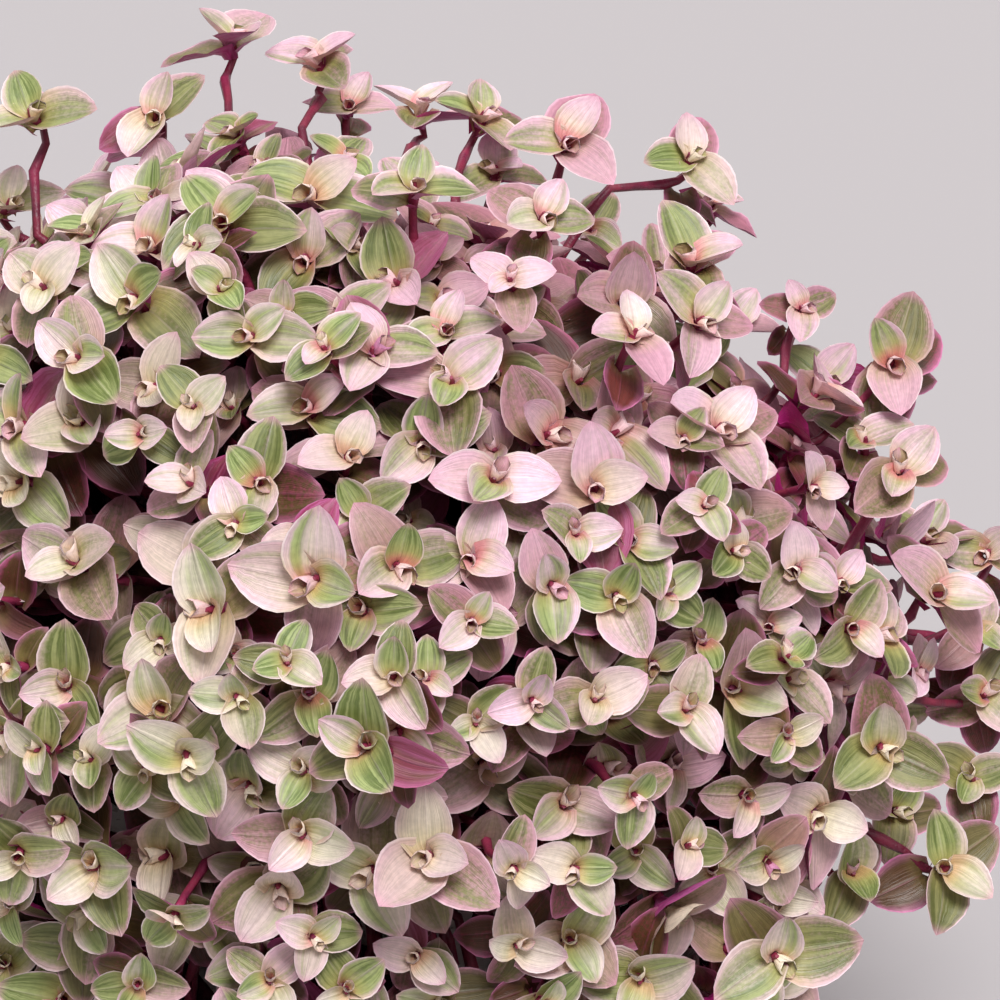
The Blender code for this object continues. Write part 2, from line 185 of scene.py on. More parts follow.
# streaks that run along a leaf and close up at both of its ends
def makeStreakGroup():
    inputs = [
        ("Across", "Float", 0.0),
        ("Along", "Float", 0.0),
        ("Seed", "Float", 0.0),
        ("Count", "Float", 3.0),
        ("Stretch", "Float", 0.6),
    ]
    tree, given, result = newGroup("leafStreaks", "ShaderNodeTree", inputs, [("Streaks", "Float")])
    times = partial(maths, tree, "MULTIPLY")
    place = addNode(tree, "ShaderNodeCombineXYZ", {
        "X": times(given["Across"], given["Count"]),
        "Y": times(given["Along"], given["Stretch"]),
        "Z": times(given["Seed"], 60.0),  # so far apart that no two leaves share their streaks
    }).outputs[0]
    pattern = addNode(tree, "ShaderNodeTexNoise", {"Vector": place, "Scale": 1.0, "Detail": 2.0})
    plug(tree, result["Streaks"], pattern.outputs["Fac"])
    return tree


# fine uneven tone over any surface, from its own coordinates
def makeMottleGroup():
    inputs = [("Scale", "Float", 100.0), ("Low", "Float", 0.0), ("High", "Float", 1.0)]
    tree, given, result = newGroup("mottle", "ShaderNodeTree", inputs, [("Mottle", "Float")])
    place = addNode(tree, "ShaderNodeTexCoord").outputs["Object"]
    pattern = addNode(tree, "ShaderNodeTexNoise", {
        "Vector": place, "Scale": given["Scale"], "Detail": 3.0}).outputs["Fac"]
    plug(tree, result["Mottle"], ramp(tree, pattern, 0.3, 0.7, given["Low"], given["High"]))
    return tree


streakGroup = makeStreakGroup()
mottleGroup = makeMottleGroup()


def mottle(tree, scale, low=0.0, high=1.0):
    return useGroup(tree, mottleGroup, {"Scale": scale, "Low": low, "High": high})


def addBump(tree, shader, height, strength, distance):
    bump = addNode(tree, "ShaderNodeBump", {
        "Strength": strength, "Distance": distance, "Height": height})
    plug(tree, shader.inputs["Normal"], bump.outputs["Normal"])


leafFinish = {
    "cream": paint(224, 216, 195),
    "palePink": paint(237, 199, 217),
    "lightGreen": paint(160, 176, 110),
    "deepGreen": paint(99, 121, 51),
    "margin": paint(238, 219, 221),
    "tip": paint(234, 172, 196),
    "gold": paint(206, 192, 118),
    "stripe": paint(126, 118, 58),
    "blush": paint(212, 92, 116),
    "amber": paint(206, 158, 112),
    "oldPale": (paint(196, 114, 156), paint(166, 128, 106)),  # from mauve to brown, by leaf
    "oldGreen": paint(122, 126, 70),
    "oldMargin": paint(208, 122, 168),
    "budCream": paint(252, 236, 212),
    "budPink": paint(250, 210, 216),
    "budHeart": paint(240, 194, 150),
    "lilac": paint(200, 112, 172),
    "magenta": paint(196, 44, 132),
    "flush": (paint(164, 30, 102), paint(194, 82, 152)),
    # old leaves' darker colour, partly their own and partly painted shade of the lower leaves
    "oldTint": paint(174, 102, 108),
    "deepTint": paint(156, 58, 80),  # painted shade on the leaves deep in the mound
    "roughness": (0.36, 0.52),
    "bump": (0.6, 0.00025),  # strength and height
    # streaks: how many there are across half a leaf, and how much they change along it
    "broad": (1.5, 0.6),
    "fine": (7.0, 0.8),
    "hair": (26.0, 1.1),
    "lines": (15.0, 1.2),
    # scale, lowest and highest level
    "skin": (900.0, 0.92, 1.06),
    "specks": (1500.0, -0.5, 0.5),
}


def makeLeafMaterial():
    finish = leafFinish
    material, tree, shader = newMaterial("variegatedLeaf")
    times, plus, minus, fraction = [
        partial(maths, tree, way) for way in ("MULTIPLY", "ADD", "SUBTRACT", "FRACT")]
    mix, band, value = partial(mixColour, tree), partial(ramp, tree), partial(attribute, tree)
    spot = addNode(tree, "ShaderNodeUVMap", uv_map="leafUV").outputs["UV"]
    spot = addNode(tree, "ShaderNodeSeparateXYZ", {"Vector": spot}).outputs
    side, along = minus(times(spot["X"], 2.0), 1.0), spot["Y"]
    edge = maths(tree, "ABSOLUTE", side)
    seed, tone, pink, lean, age, blush, rolled = [
        value(name) for name in ("seed", "tone", "pink", "lean", "age", "blush", "rolled")]
    # two more numbers of each leaf's own
    ends, kind = minus(fraction(times(seed, 37.0)), 0.5), fraction(times(seed, 91.0))

    def streaks(name):
        count, stretch = finish[name]
        return useGroup(tree, streakGroup, {
            "Across": side, "Along": along, "Seed": seed, "Count": count, "Stretch": stretch})

    broad, fine, hair = streaks("broad"), streaks("fine"), streaks("hair")
    # where it is green: streaks, more on one side or end, less at the margin and on the midrib
    green = plus(plus(broad, times(fine, 0.45)), times(tone, 0.85))
    green = plus(green, times(times(side, lean), 0.30))
    green = plus(green, times(times(along, ends), 0.24))
    green = plus(green, times(times(mottle(tree, *finish["specks"]), age), 0.5))
    green = minus(green, band(edge, 0.55, 0.95, 0.0, 0.36))
    green = minus(green, band(edge, 0.16, 0.0, 0.0, 0.05))
    lines = times(band(streaks("lines"), 0.50, 0.66, 0.0, 0.26), band(green, 0.55, 0.95))
    greenMask = maths(tree, "MAXIMUM", band(green, 0.80, 1.42, 0.0, 0.97), lines)
    ripe = band(age, 0.15, 0.9)
    rosy = plus(pink, plus(band(edge, 0.5, 1.0, 0.0, 0.35), band(along, 0.55, 1.0, 0.0, 0.30)))
    pale = mix(maths(tree, "MINIMUM", rosy, 1.0), finish["cream"], finish["palePink"])
    pale = mix(ripe, pale, mix(band(kind, 0.2, 0.8), *finish["oldPale"]))
    leafGreen = mix(band(fine, 0.35, 0.65), finish["deepGreen"], finish["lightGreen"])
    leafGreen = mix(times(ripe, 0.8), leafGreen, finish["oldGreen"])
    colour = mix(greenMask, pale, leafGreen)
    # older leaves darker: partly their own colour, partly painted shade
    colour = mix(age, colour, finish["oldTint"], "MULTIPLY")
    # the tip, the margin and the midrib
    margin = mix(ripe, finish["margin"], finish["oldMargin"])
    tip = mix(ripe, finish["tip"], finish["oldMargin"])
    colour = mix(band(along, 0.80, 1.0, 0.0, 0.55), colour, tip)
    colour = mix(times(ripe, band(edge, 0.60, 0.96, 0.0, 0.45)), colour, margin)
    # a thin bright line round the margin: partly its pale colour, partly a painted highlight where
    # the thin edge catches the light
    colour = mix(band(edge, 0.90, 0.98, 0.0, 0.90), colour, margin)
    colour = mix(band(edge, 0.06, 0.0, 0.0, 0.12), colour, margin)
    # the base: gold, then red where the leaf leaves the stem
    base = minus(times(blush, 0.62), along)
    glow = band(base, -0.32, 0.12, 0.0, 0.40)
    colour = mix(glow, colour, finish["gold"])
    colour = mix(times(glow, band(fine, 0.47, 0.62, 0.0, 0.9)), colour, finish["stripe"])
    amber = mix(rolled, finish["amber"], finish["budHeart"])
    heart = mix(band(pink, 0.25, 0.6), amber, finish["blush"])
    colour = mix(band(base, -0.04, 0.24, 0.0, 0.62), colour, heart)
    colour = mix(times(rolled, band(edge, 0.96, 0.50, 0.0, 0.3)), colour, heart)
    veins = times(band(hair, 0.36, 0.60, 0.89, 1.04), mottle(tree, *finish["skin"]))
    colour = mix(1.0, colour, veins, "MULTIPLY")
    # purple on some old leaves, and painted shade on the leaves deep in the mound
    purple = mix(band(fine, 0.35, 0.65), *finish["flush"])
    flushed = band(plus(broad, times(edge, 0.4)), 0.30, 0.80, 0.15, 0.88)
    colour = mix(times(value("flush"), flushed), colour, purple)
    colour = mix(value("depth"), colour, finish["deepTint"], "MULTIPLY")
    # the underside: pale on a bud, and lilac to magenta on a leaf
    bud = mix(pink, finish["budCream"], finish["budPink"])
    below = mix(band(plus(fine, age), 0.55, 1.35), finish["lilac"], finish["magenta"])
    below = mix(1.0, mix(band(age, 0.04, 0.30), bud, below), veins, "MULTIPLY")
    colour = mix(value("underside"), colour, below)
    plug(tree, shader.inputs["Base Color"], colour)
    plug(tree, shader.inputs["Roughness"], band(fine, 0.3, 0.7, *finish["roughness"]))
    addBump(tree, shader, minus(hair, band(edge, 0.12, 0.0, 0.0, 0.8)), *finish["bump"])
    return material


stemFinish = {
    "ripe": paint(124, 34, 52),
    "dark": paint(74, 20, 34),
    "fresh": paint(184, 58, 108),  # towards the rosettes and at the knots
    "patches": 260.0,
    "skin": 1400.0,
    "roughness": (0.38, 0.55),
    "bump": (0.4, 0.0002),
}


def makeStemMaterial():
    finish = stemFinish
    material, tree, shader = newMaterial("redStem")
    patches = mottle(tree, finish["patches"])
    colour = mixColour(tree, patches, finish["dark"], finish["ripe"])
    colour = mixColour(tree, attribute(tree, "sheath"), colour, finish["fresh"])
    plug(tree, shader.inputs["Base Color"], colour)
    plug(tree, shader.inputs["Roughness"], ramp(tree, patches, 0.0, 1.0, *finish["roughness"]))
    addBump(tree, shader, mottle(tree, finish["skin"]), *finish["bump"])
    return material


# near black wine: the colour of old stems, darkened further as painted shade
tangleShadeFinish = {
    "colours": (paint(30, 7, 12), paint(78, 20, 34)),
    "patches": 160.0,
    "roughness": 0.9,
    "bump": (1.0, 0.004),
}


def makeTangleShadeMaterial():
    finish = tangleShadeFinish
    material, tree, shader = newMaterial("shadedTangle")
    patches = mottle(tree, finish["patches"])
    plug(tree, shader.inputs["Base Color"], mixColour(tree, patches, *finish["colours"]))
    shader.inputs["Roughness"].default_value = finish["roughness"]
    addBump(tree, shader, patches, *finish["bump"])
    return material


potFinish = {
    "glaze": (paint(222, 217, 210), paint(232, 228, 222)),
    "speckColour": paint(140, 124, 108),
    "clouds": 26.0,
    "specks": 620.0,
    "rings": 90.0,  # the marks of its turning
    "roughness": (0.48, 0.62),
    "bump": (0.25, 0.0003),
}


def makePotMaterial():
    finish = potFinish
    material, tree, shader = newMaterial("potCeramic")
    clouds, specks = mottle(tree, finish["clouds"]), mottle(tree, finish["specks"])
    colour = mixColour(tree, clouds, *finish["glaze"])
    speckled = ramp(tree, specks, 0.93, 1.0, 0.0, 0.5)
    colour = mixColour(tree, speckled, colour, finish["speckColour"])
    plug(tree, shader.inputs["Base Color"], colour)
    plug(tree, shader.inputs["Roughness"], ramp(tree, clouds, 0.0, 1.0, *finish["roughness"]))
    place = addNode(tree, "ShaderNodeTexCoord").outputs["Object"]
    rings = addNode(tree, "ShaderNodeTexWave", {
        "Vector": place, "Scale": finish["rings"], "Distortion": 0.6}, bands_direction="Z")
    rings = maths(tree, "MULTIPLY", rings.outputs["Fac"], 0.25)
    addBump(tree, shader, maths(tree, "ADD", rings, specks), *finish["bump"])
    return material


soilFinish = {
    "colours": (paint(38, 27, 20), paint(82, 62, 46)),
    "gritColour": paint(150, 136, 116),
    "clods": 240.0,
    "grit": 1500.0,
    "roughness": 0.95,
    "bump": (0.9, 0.0012),
}


def makeSoilMaterial():
    finish = soilFinish
    material, tree, shader = newMaterial("pottingSoil")
    clods, grit = mottle(tree, finish["clods"]), mottle(tree, finish["grit"])
    colour = mixColour(tree, clods, *finish["colours"])
    colour = mixColour(tree, ramp(tree, grit, 0.92, 1.0, 0.0, 0.6), colour, finish["gritColour"])
    plug(tree, shader.inputs["Base Color"], colour)
    shader.inputs["Roughness"].default_value = finish["roughness"]
    addBump(tree, shader, maths(tree, "ADD", clods, grit), *finish["bump"])
    return material


# leaf shapes, each one unit long: a closed shell, thickest on its midrib and thin at its margin
leafShapes = {
    "0_roll": {
        # a funnel: it goes round by "rolled" to each side up to "overlap", then runs to its tip
        "rolled": 200, "spiral": 0.12, "overlap": 0.52, "point": 1.25, "flare": (0.15, 0.35),
        "clasp": 0, "bend": -30, "rows": (0.0, 0.26, 0.52, 0.68, 0.84), "columns": 10,
    },
    "1_cup": {"width": 0.96, "wrap": 56, "unroll": 0.6, "clasp": 52, "bend": 8},
    "2_spoon": {"width": 0.92, "wrap": 40, "clasp": 60, "bend": -4, "fold": 0.05},
    "3_open": {"width": 0.86, "wrap": 30, "clasp": 72, "bend": -14, "fold": 0.08, "veer": 0.03},
    "4_open": {
        "width": 0.80, "wrap": 26, "clasp": 78, "bend": -22, "fold": 0.10, "veer": -0.05,
        "wave": 0.02,
    },
    "5_arched": {
        "width": 0.76, "wrap": 24, "clasp": 84, "bend": -38, "fold": 0.12, "veer": 0.04,
        "wave": 0.015,
    },
    "6_broad": {"width": 0.88, "wrap": 20, "clasp": 86, "bend": -18, "fold": 0.05, "wave": 0.03},
    "7_pointed": {"width": 0.70, "wrap": 32, "clasp": 80, "bend": -26, "fold": 0.10, "veer": -0.06},
    "8_old": {
        "width": 0.82, "wrap": 14, "clasp": 96, "bend": -28, "fold": 0.05, "wave": 0.03,
        "rows": (0.0, 0.13, 0.28, 0.46, 0.66, 0.86),
    },
    "9_drooping": {
        "width": 0.74, "wrap": 18, "clasp": 98, "bend": -54, "fold": 0.08, "wave": 0.03,
        "veer": 0.05,
        "rows": (0.0, 0.13, 0.28, 0.46, 0.66, 0.86),
    },
}
blade = {
    "rows": (0.0, 0.09, 0.20, 0.33, 0.48, 0.63, 0.78, 0.91),
    "sheath": 0.26,  # the share of the leaf that clasps the stem
    "sheathWrap": 150,  # degrees to each side
    "baseWidth": 0.08,
    "fullness": (0.56, 0.80),  # powers of the outline, towards the base and towards the tip
    "unroll": 0.35,
    "thickness": 0.035,  # a share of the leaf's length, on the midrib
    "thicken": 3,  # the thickness is full a third of the way in from either end
    "tipThickness": 0.1,
    "opening": 1.5,  # powers: how the sheath opens, how a rolled leaf flares
    "flaring": 0.8,
    "waves": (11, 1.5),  # along the leaf and across it
    "spineSteps": 60,
}


def halfWidth(shape, along):
    low, high = blade["fullness"]
    base = blade["baseWidth"]
    widest = (low - high * base) / (low + high)
    outline = [(place + base) ** low * (1 - place) ** high for place in (along, widest)]
    return shape["width"] / 2 * outline[0] / outline[1]


def leafSpine(shape):
    # the midrib's path: up the stem in the sheath, out of it and then bending to the tip
    steps, sheath = blade["spineSteps"], blade["sheath"]
    clasp, bend = math.radians(shape["clasp"]), math.radians(shape["bend"])
    spot, spine = Vector((0.0, 0.0)), []
    for step in range(steps + 1):
        along = step / steps
        angle = clasp * max(0.0, 1 - along / sheath) ** 2
        angle += bend * max(0.0, along - sheath) / (1 - sheath)
        spine.append((spot.copy(), angle))
        spot += Vector((math.cos(angle), math.sin(angle))) / steps
    return spine


leafSpines = {name: leafSpine(shape) for name, shape in leafShapes.items()}


def rolledPoint(name, along, side, depth):
    # a leaf still rolled up: its margins overlap low down and run round the rim to its tip
    shape = leafShapes[name]
    low, high = shape["flare"]
    climb = max(0.0, along - shape["overlap"]) / (1 - shape["overlap"])
    turn = side * math.radians(shape["rolled"]) * (1 - climb ** (1 / shape["point"]))
    radius = (low + (high - low) * along ** blade["flaring"]) * (1 + shape["spiral"] * side)
    thick = blade["thickness"] * depth * math.sqrt(max(0.0, 1 - side**2))
    radius += thick * min(1.0, blade["thicken"] * along, blade["thicken"] * (1 - along))
    spot, angle = leafSpines[name][round(along * blade["spineSteps"])]
    sideways, rise = radius * math.sin(turn), -radius * math.cos(turn)
    return Vector((spot.x - rise * math.sin(angle), sideways, spot.y + rise * math.cos(angle)))


def leafPoint(name, along, side, depth=0.0):
    # across the leaf is an arc, which closes round the stem towards the base
    shape = leafShapes[name]
    if "rolled" in shape:
        return rolledPoint(name, along, side, depth)
    half = halfWidth(shape, along)
    opening = max(0.0, 1 - along / blade["sheath"]) ** blade["opening"] if shape["clasp"] else 0.0
    wrap = shape["wrap"] * (2 * half / shape["width"]) ** shape.get("unroll", blade["unroll"])
    wrap = math.radians(wrap + (blade["sheathWrap"] - wrap) * opening)
    turn = side * wrap
    radius = half / max(wrap, 0.01)
    sideways = radius * math.sin(turn) + shape.get("veer", 0.0) * along**2
    rise = radius * (1 - math.cos(turn))
    rise += shape.get("fold", 0.0) * abs(side) * half * (1 - opening)
    lengthwise, crosswise = blade["waves"]
    wave = math.sin(lengthwise * along + crosswise * side)
    rise += shape.get("wave", 0.0) * side**2 * wave
    thicken = blade["thicken"]
    thick = blade["thickness"] * depth * math.sqrt(max(0.0, 1 - side**2))
    thick *= min(1.0, thicken * along)
    thick *= min(1.0, thicken * (1 - along) + blade["tipThickness"])
    sideways += thick * math.sin(turn)
    rise -= thick * math.cos(turn)
    spot, angle = leafSpines[name][round(along * blade["spineSteps"])]
    return Vector((spot.x - rise * math.sin(angle), sideways, spot.y + rise * math.cos(angle)))


def addNumbers(mesh, name, kind, domain, values, field="value"):
    mesh.attributes.new(name, kind, domain).data.foreach_set(field, values)


def leafMesh(name, shape):
    alongs = shape.get("rows", blade["rows"])
    rows, columns = len(alongs), shape.get("columns", 4)
    sides = [2 * column / columns - 1 for column in range(columns + 1)]
    points, places = [], []

    def addPoint(along, side, depth):
        points.append(leafPoint(name, along, side, depth))
        places.append(((side + 1) / 2, along))
        return len(points) - 1

    upper = [[addPoint(along, side, 0.0) for side in sides] for along in alongs]
    tip = addPoint(1.0, 0.0, 0.0)
    lower = [list(upper[0])]
    for row in range(1, rows):
        inner = [addPoint(alongs[row], side, 1.0) for side in sides[1:-1]]
        lower.append([upper[row][0]] + inner + [upper[row][-1]])
    faces, under = [], []
    for layer, below in ((upper, 0.0), (lower, 1.0)):
        for row in range(rows - 1):
            for column in range(columns):
                faces.append((layer[row][column], layer[row + 1][column],
                              layer[row + 1][column + 1], layer[row][column + 1]))
        for column in range(columns):
            faces.append((layer[-1][column], tip, layer[-1][column + 1]))
        under += [below] * (len(faces) - len(under))
    # both sides keep the same diagonals, so neither comes through the other
    faces = [face if below else face[:1] + face[:0:-1] for face, below in zip(faces, under)]
    mesh = bpy.data.meshes.new(name)
    mesh.from_pydata(points, [], faces)
    spots = mesh.uv_layers.new(name="leafUV")
    for loop in mesh.loops:
        spots.data[loop.index].uv = places[loop.vertex_index]
    addNumbers(mesh, "underside", "FLOAT", "FACE", under)
    addNumbers(mesh, "rolled", "FLOAT", "FACE", [float("rolled" in shape)] * len(faces))
    margin = set(upper[0]) | {tip} | {row[0] for row in upper} | {row[-1] for row in upper}
    mesh.shade_smooth()
    shared = {}
    for face, below in zip(mesh.polygons, under):
        for key in face.edge_keys:
            shared.setdefault(key, set()).add(below)
    sharp = [len(shared[edge.key]) > 1 and set(edge.vertices) <= margin for edge in mesh.edges]
    addNumbers(mesh, "sharp_edge", "BOOLEAN", "EDGE", sharp)
    return mesh


def makeLeafCollection():
    collection = bpy.data.collections.new("leafShapes")
    for name, shape in leafShapes.items():
        collection.objects.link(bpy.data.objects.new(name, leafMesh(name, shape)))
    return collection


shapeNames = sorted(leafShapes)
probePlaces = [(along, side) for along in (0.4, 0.65, 0.88) for side in (-0.8, 0.0, 0.8)]
probePlaces.append((1.0, 0.0))
leafProbes = [
    np.array([leafPoint(name, along, side) for along, side in probePlaces]) for name in shapeNames
]

# the mound, read from the CAD sprays, and the shoots on it
foliage = {
    "seed": 11,
    "tries": 12000,
    "outer": 0.085,  # further out than this the CAD sprays are rosettes
    "cone": 12,  # degrees round a heading in which the mound's reach is read
    "percentile": 72,
    "lowest": -50,  # degrees below the mound's middle
    "ragged": (3, 2.4),  # how uneven that edge is, in degrees, and how fine
    "spacing": 0.0129,  # between shoot tips
    "standingSpacing": 0.024,
    "spacingBySize": 0.6,  # the share of the spacing that goes with a shoot's size
    "rim": 0.55,  # no chance shoots stand out this near the outline, where the named ones do
    "rimLeft": -0.4,  # but further left than this they may
    "sink": (-0.085, 0.010),  # share of the reach, below and above the CAD's rosettes
    "openSink": 0.26,  # further in where the mound is open
    "openEnough": 0.35,  # chance shoots stand out only where it is this open
    "openShade": 0.5,  # how much of the painted deep shade is lost where it is open
    "standOut": (0.92, 1.03),
    "patches": (3.1, 0.1),  # small open patches: how fine they are, and how few
    "patchFade": (1.2, 3),  # how open they are beside the mound's middle, and more with height
    "deepFrom": 0.012,  # leaves begin to get painted shade this far below the outline,
    "deepAt": 0.024,  # and get it in full this much further down
    "deepening": 0.30,  # how much older the leaves deep in the mound look, which darkens them more as painted shade
    "deepeningRank": 3,  # from this leaf of the rosette on
    "standingShade": 0.5,
    "bareAge": 0.4,  # leaves older than this are the old ones
    "bareShare": 0.75,  # of the old leaves, those that shoots standing clear have lost
    "sizes": (0.66, 0.80, 0.88, 0.94, 0.98, 1.01, 1.03, 1.05),
    "sizeStray": (0.96, 1.04),
    "hang": 0.012,  # low shoots start this far above their tips
    "hangLowest": 0.4,  # but not below this share of the pot's height
    "lightLean": (-0.05, -0.34, 0.28),
    "standingLean": ((-0.10, -0.68, 0.56), (0.04, -0.36, 0.84)),  # low down and high up
    "standingHigh": 0.10,
    "standingOutwards": 0.35,  # the shares of the way outwards and of the stray that they keep
    "standingStray": 0.8,
    "stray": 0.22,
    "viaNearer": 0.6,  # a stem's lower spot is nearer by this share of what its tip is
    "turning": (104, 120, 137, 150, 165),  # degrees from one leaf to the next
    # mean level, strength and fineness of the patches, and stray of each shoot
    "tone": (0.52, 0.40, 24, 0.10),
    "pink": (0.27, 0.60, 16, 0.14),
    "pinkSide": (0.36, 0.40, 0.72),  # the way to the pinker side
    "pinkGain": (0.95, 0.05),  # how much pinker, and how far round it begins
    "greenLoss": (0.34, 0.1),
    "rightRipening": 0.22,  # leaves look this much older on the right
    "flushShare": (0.08, 0.18),  # older leaves flushed with purple, on the left and on the right
    "standingChanges": {"tone": 0.22, "pink": -0.18, "ripening": 0.08},
}
# where the mound is open in the photo: each spot's pixel, its width and how far open it is
openSpots = {
    "topLeft": ((100, 70), 55, 1.0),
    "topMiddle": ((410, 90), 130, 1.0),
    "topRight": ((590, 180), 140, 1.0),
    "rightUpper": ((760, 300), 130, 1.0),
    "right": ((860, 430), 90, 0.8),
    "gapLeft": ((205, 400), 50, 0.6),
    "gapCentre": ((420, 515), 45, 0.6),
    "gapLow": ((480, 850), 50, 0.6),
    "gapCorner": ((190, 900), 60, 0.6),
    "bottomRight": ((960, 950), 130, 1.0),
}
sprayNames = sorted(name for name in frame["nodes"] if "_spray_" in name)
sprayPoints = {}
for name in sprayNames:
    vertices = frame["nodes"][name].data.vertices
    flat = np.empty(len(vertices) * 3)
    vertices.foreach_get("co", flat)
    sprayPoints[name] = flat.reshape(-1, 3)
cloud = np.concatenate([sprayPoints[name] for name in sprayNames])
owners = [name for name in sprayNames for point in sprayPoints[name]]
cloudAway = cloud - np.array(moundCentre)
cloudFar = np.linalg.norm(cloudAway, axis=1)
outer = cloudFar > foliage["outer"]
outerWays = cloudAway[outer] / cloudFar[outer][:, None]
outerFar = cloudFar[outer]
ownerTree = kdtree.KDTree(int(outer.sum()))
outerIndices = np.nonzero(outer)[0]
for index, place in enumerate(outerIndices):
    ownerTree.insert(cloud[place], index)
ownerTree.balance()


def moundReach(headings):
    cone = math.cos(math.radians(foliage["cone"]))
    reaches = []
    for heading in headings:
        near = outerWays @ np.array(heading) > cone
        reaches.append(np.percentile(outerFar[near], foliage["percentile"]) if near.any() else 0.0)
    return reaches


def nearestSpray(point):
    return owners[outerIndices[ownerTree.find(point)[1]]]


# shoots that stand clear of the mound in the photo: where each tip shows, where its stem shows
# lower down, how much nearer than the mound's middle it is, and its size
standingShoots = {
    "leftEdge": ((22, 92), (40, 236), 0.010, 0.95),
    "leftUpper": ((150, 98), (160, 180), 0.000, 0.90),
    "topLeft": ((232, 14), (224, 122), -0.012, 0.95),
    "topLeftRight": ((312, 36), (300, 132), -0.020, 0.95),
    "topMiddle": ((490, 96), (455, 190), -0.030, 0.85),
    "topFar": ((418, 84), (400, 160), -0.050, 0.90),
    "topStem": ((566, 122), (541, 262), 0.004, 1.0),
    "topRight": ((694, 140), (612, 190), -0.012, 0.85),
    "rightUpper": ((700, 236), (662, 336), 0.022, 1.1),
    "rightBud": ((806, 300), (772, 400), 0.000, 0.6),
    "rightHigh": ((893, 350), (818, 436), 0.000, 1.05),
    "rightStem": ((908, 462), (782, 630), 0.030, 0.95),
    "rightEdge": ((962, 586), (880, 640), 0.016, 1.1),
    "rightBehind": ((990, 545), (930, 640), -0.020, 0.85),
    "rightFar": ((992, 690), (930, 700), -0.010, 0.85),
    "rightLow": ((884, 748), (842, 770), 0.040, 1.05),
    "rightLower": ((962, 866), (905, 850), 0.020, 1.0),
    "bottomRight": ((782, 958), (760, 900), 0.070, 1.1),
}


# lesser ones between them: where each tip shows, how much nearer it is, and its size
lesserShoots = {
    "leftLow": ((8, 186), -0.005, 0.8),
    "topGap": ((352, 88), -0.030, 0.75),
    "topInner": ((345, 142), -0.010, 0.8),
    "topInnerRight": ((408, 168), -0.004, 0.8),
    "topStemLeft": ((498, 152), -0.030, 0.8),
    "topStemRight": ((590, 216), -0.020, 0.75),
    "rightUpperFar": ((716, 186), -0.030, 0.7),
    "rightUpperLow": ((742, 306), -0.010, 0.8),
    "rightUpperIn": ((706, 342), 0.004, 0.8),
    "rightHighLow": ((828, 366), -0.010, 0.85),
    "rightHighIn": ((872, 426), 0.004, 0.8),
    "rightStemFar": ((925, 516), -0.020, 0.85),
    "rightEdgeLow": ((985, 622), -0.010, 0.8),
    "rightFarLow": ((975, 775), -0.006, 0.8),
    "rightLowFar": ((908, 806), 0.004, 0.8),
    "rightLowerIn": ((862, 872), 0.020, 0.85),
}
lesserStem = 0.24  # how far back along the way to the mound's middle its stem shows


def randomVector(chance, amount):
    return Vector([chance.gauss(0.0, amount) for axis in range(3)])


def clamped(value):
    return min(1.0, max(0.0, value))


def between(pair, share):
    low, high = pair
    return low + (high - low) * share


def growDirection(tip, chance, standing=False):
    # outwards from the mound, or from the pot's side lower down, and turned up to the light
    heart = moundCentre.copy()
    heart.z = min(heart.z, max(tip.z + foliage["hang"], potHigh.z * foliage["hangLowest"]))
    outwards = (tip - heart).normalized()
    stray = randomVector(chance, foliage["stray"])
    if standing:
        low, top = [Vector(lean) for lean in foliage["standingLean"]]
        lean = low.lerp(top, clamped((tip.z - moundCentre.z) / foliage["standingHigh"]))
        outwards, stray = outwards * foliage["standingOutwards"], stray * foliage["standingStray"]
        return (outwards + lean + stray).normalized()
    return (outwards + Vector(foliage["lightLean"]) + stray).normalized()


def openness(heading, reach):
    # 0 where the mound is closed, up to 1 where it is open
    across = view["moundPixel"][0] + heading.dot(viewRight) * reach / pixelSize
    down = view["moundPixel"][1] - heading.dot(viewUp) * reach / pixelSize
    nearby = [share * math.exp(-((across - x) ** 2 + (down - y) ** 2) / wide**2)
              for (x, y), wide, share in openSpots.values()]
    scale, less = foliage["patches"]
    level, rise = foliage["patchFade"]
    patch = max(0.0, noise.noise(heading * scale + Vector((4, 4, 4))) - less)
    return min(1.0, max(nearby) + patch * clamped(level + rise * heading.z))


def patchy(name, tip, shift, chance):
    # a level that changes in patches over the mound, and by chance from shoot to shoot
    level, strength, scale, stray = foliage[name]
    place = tip * scale + Vector((shift, shift, shift))
    return level + strength * noise.noise(place) + chance.gauss(0, stray)


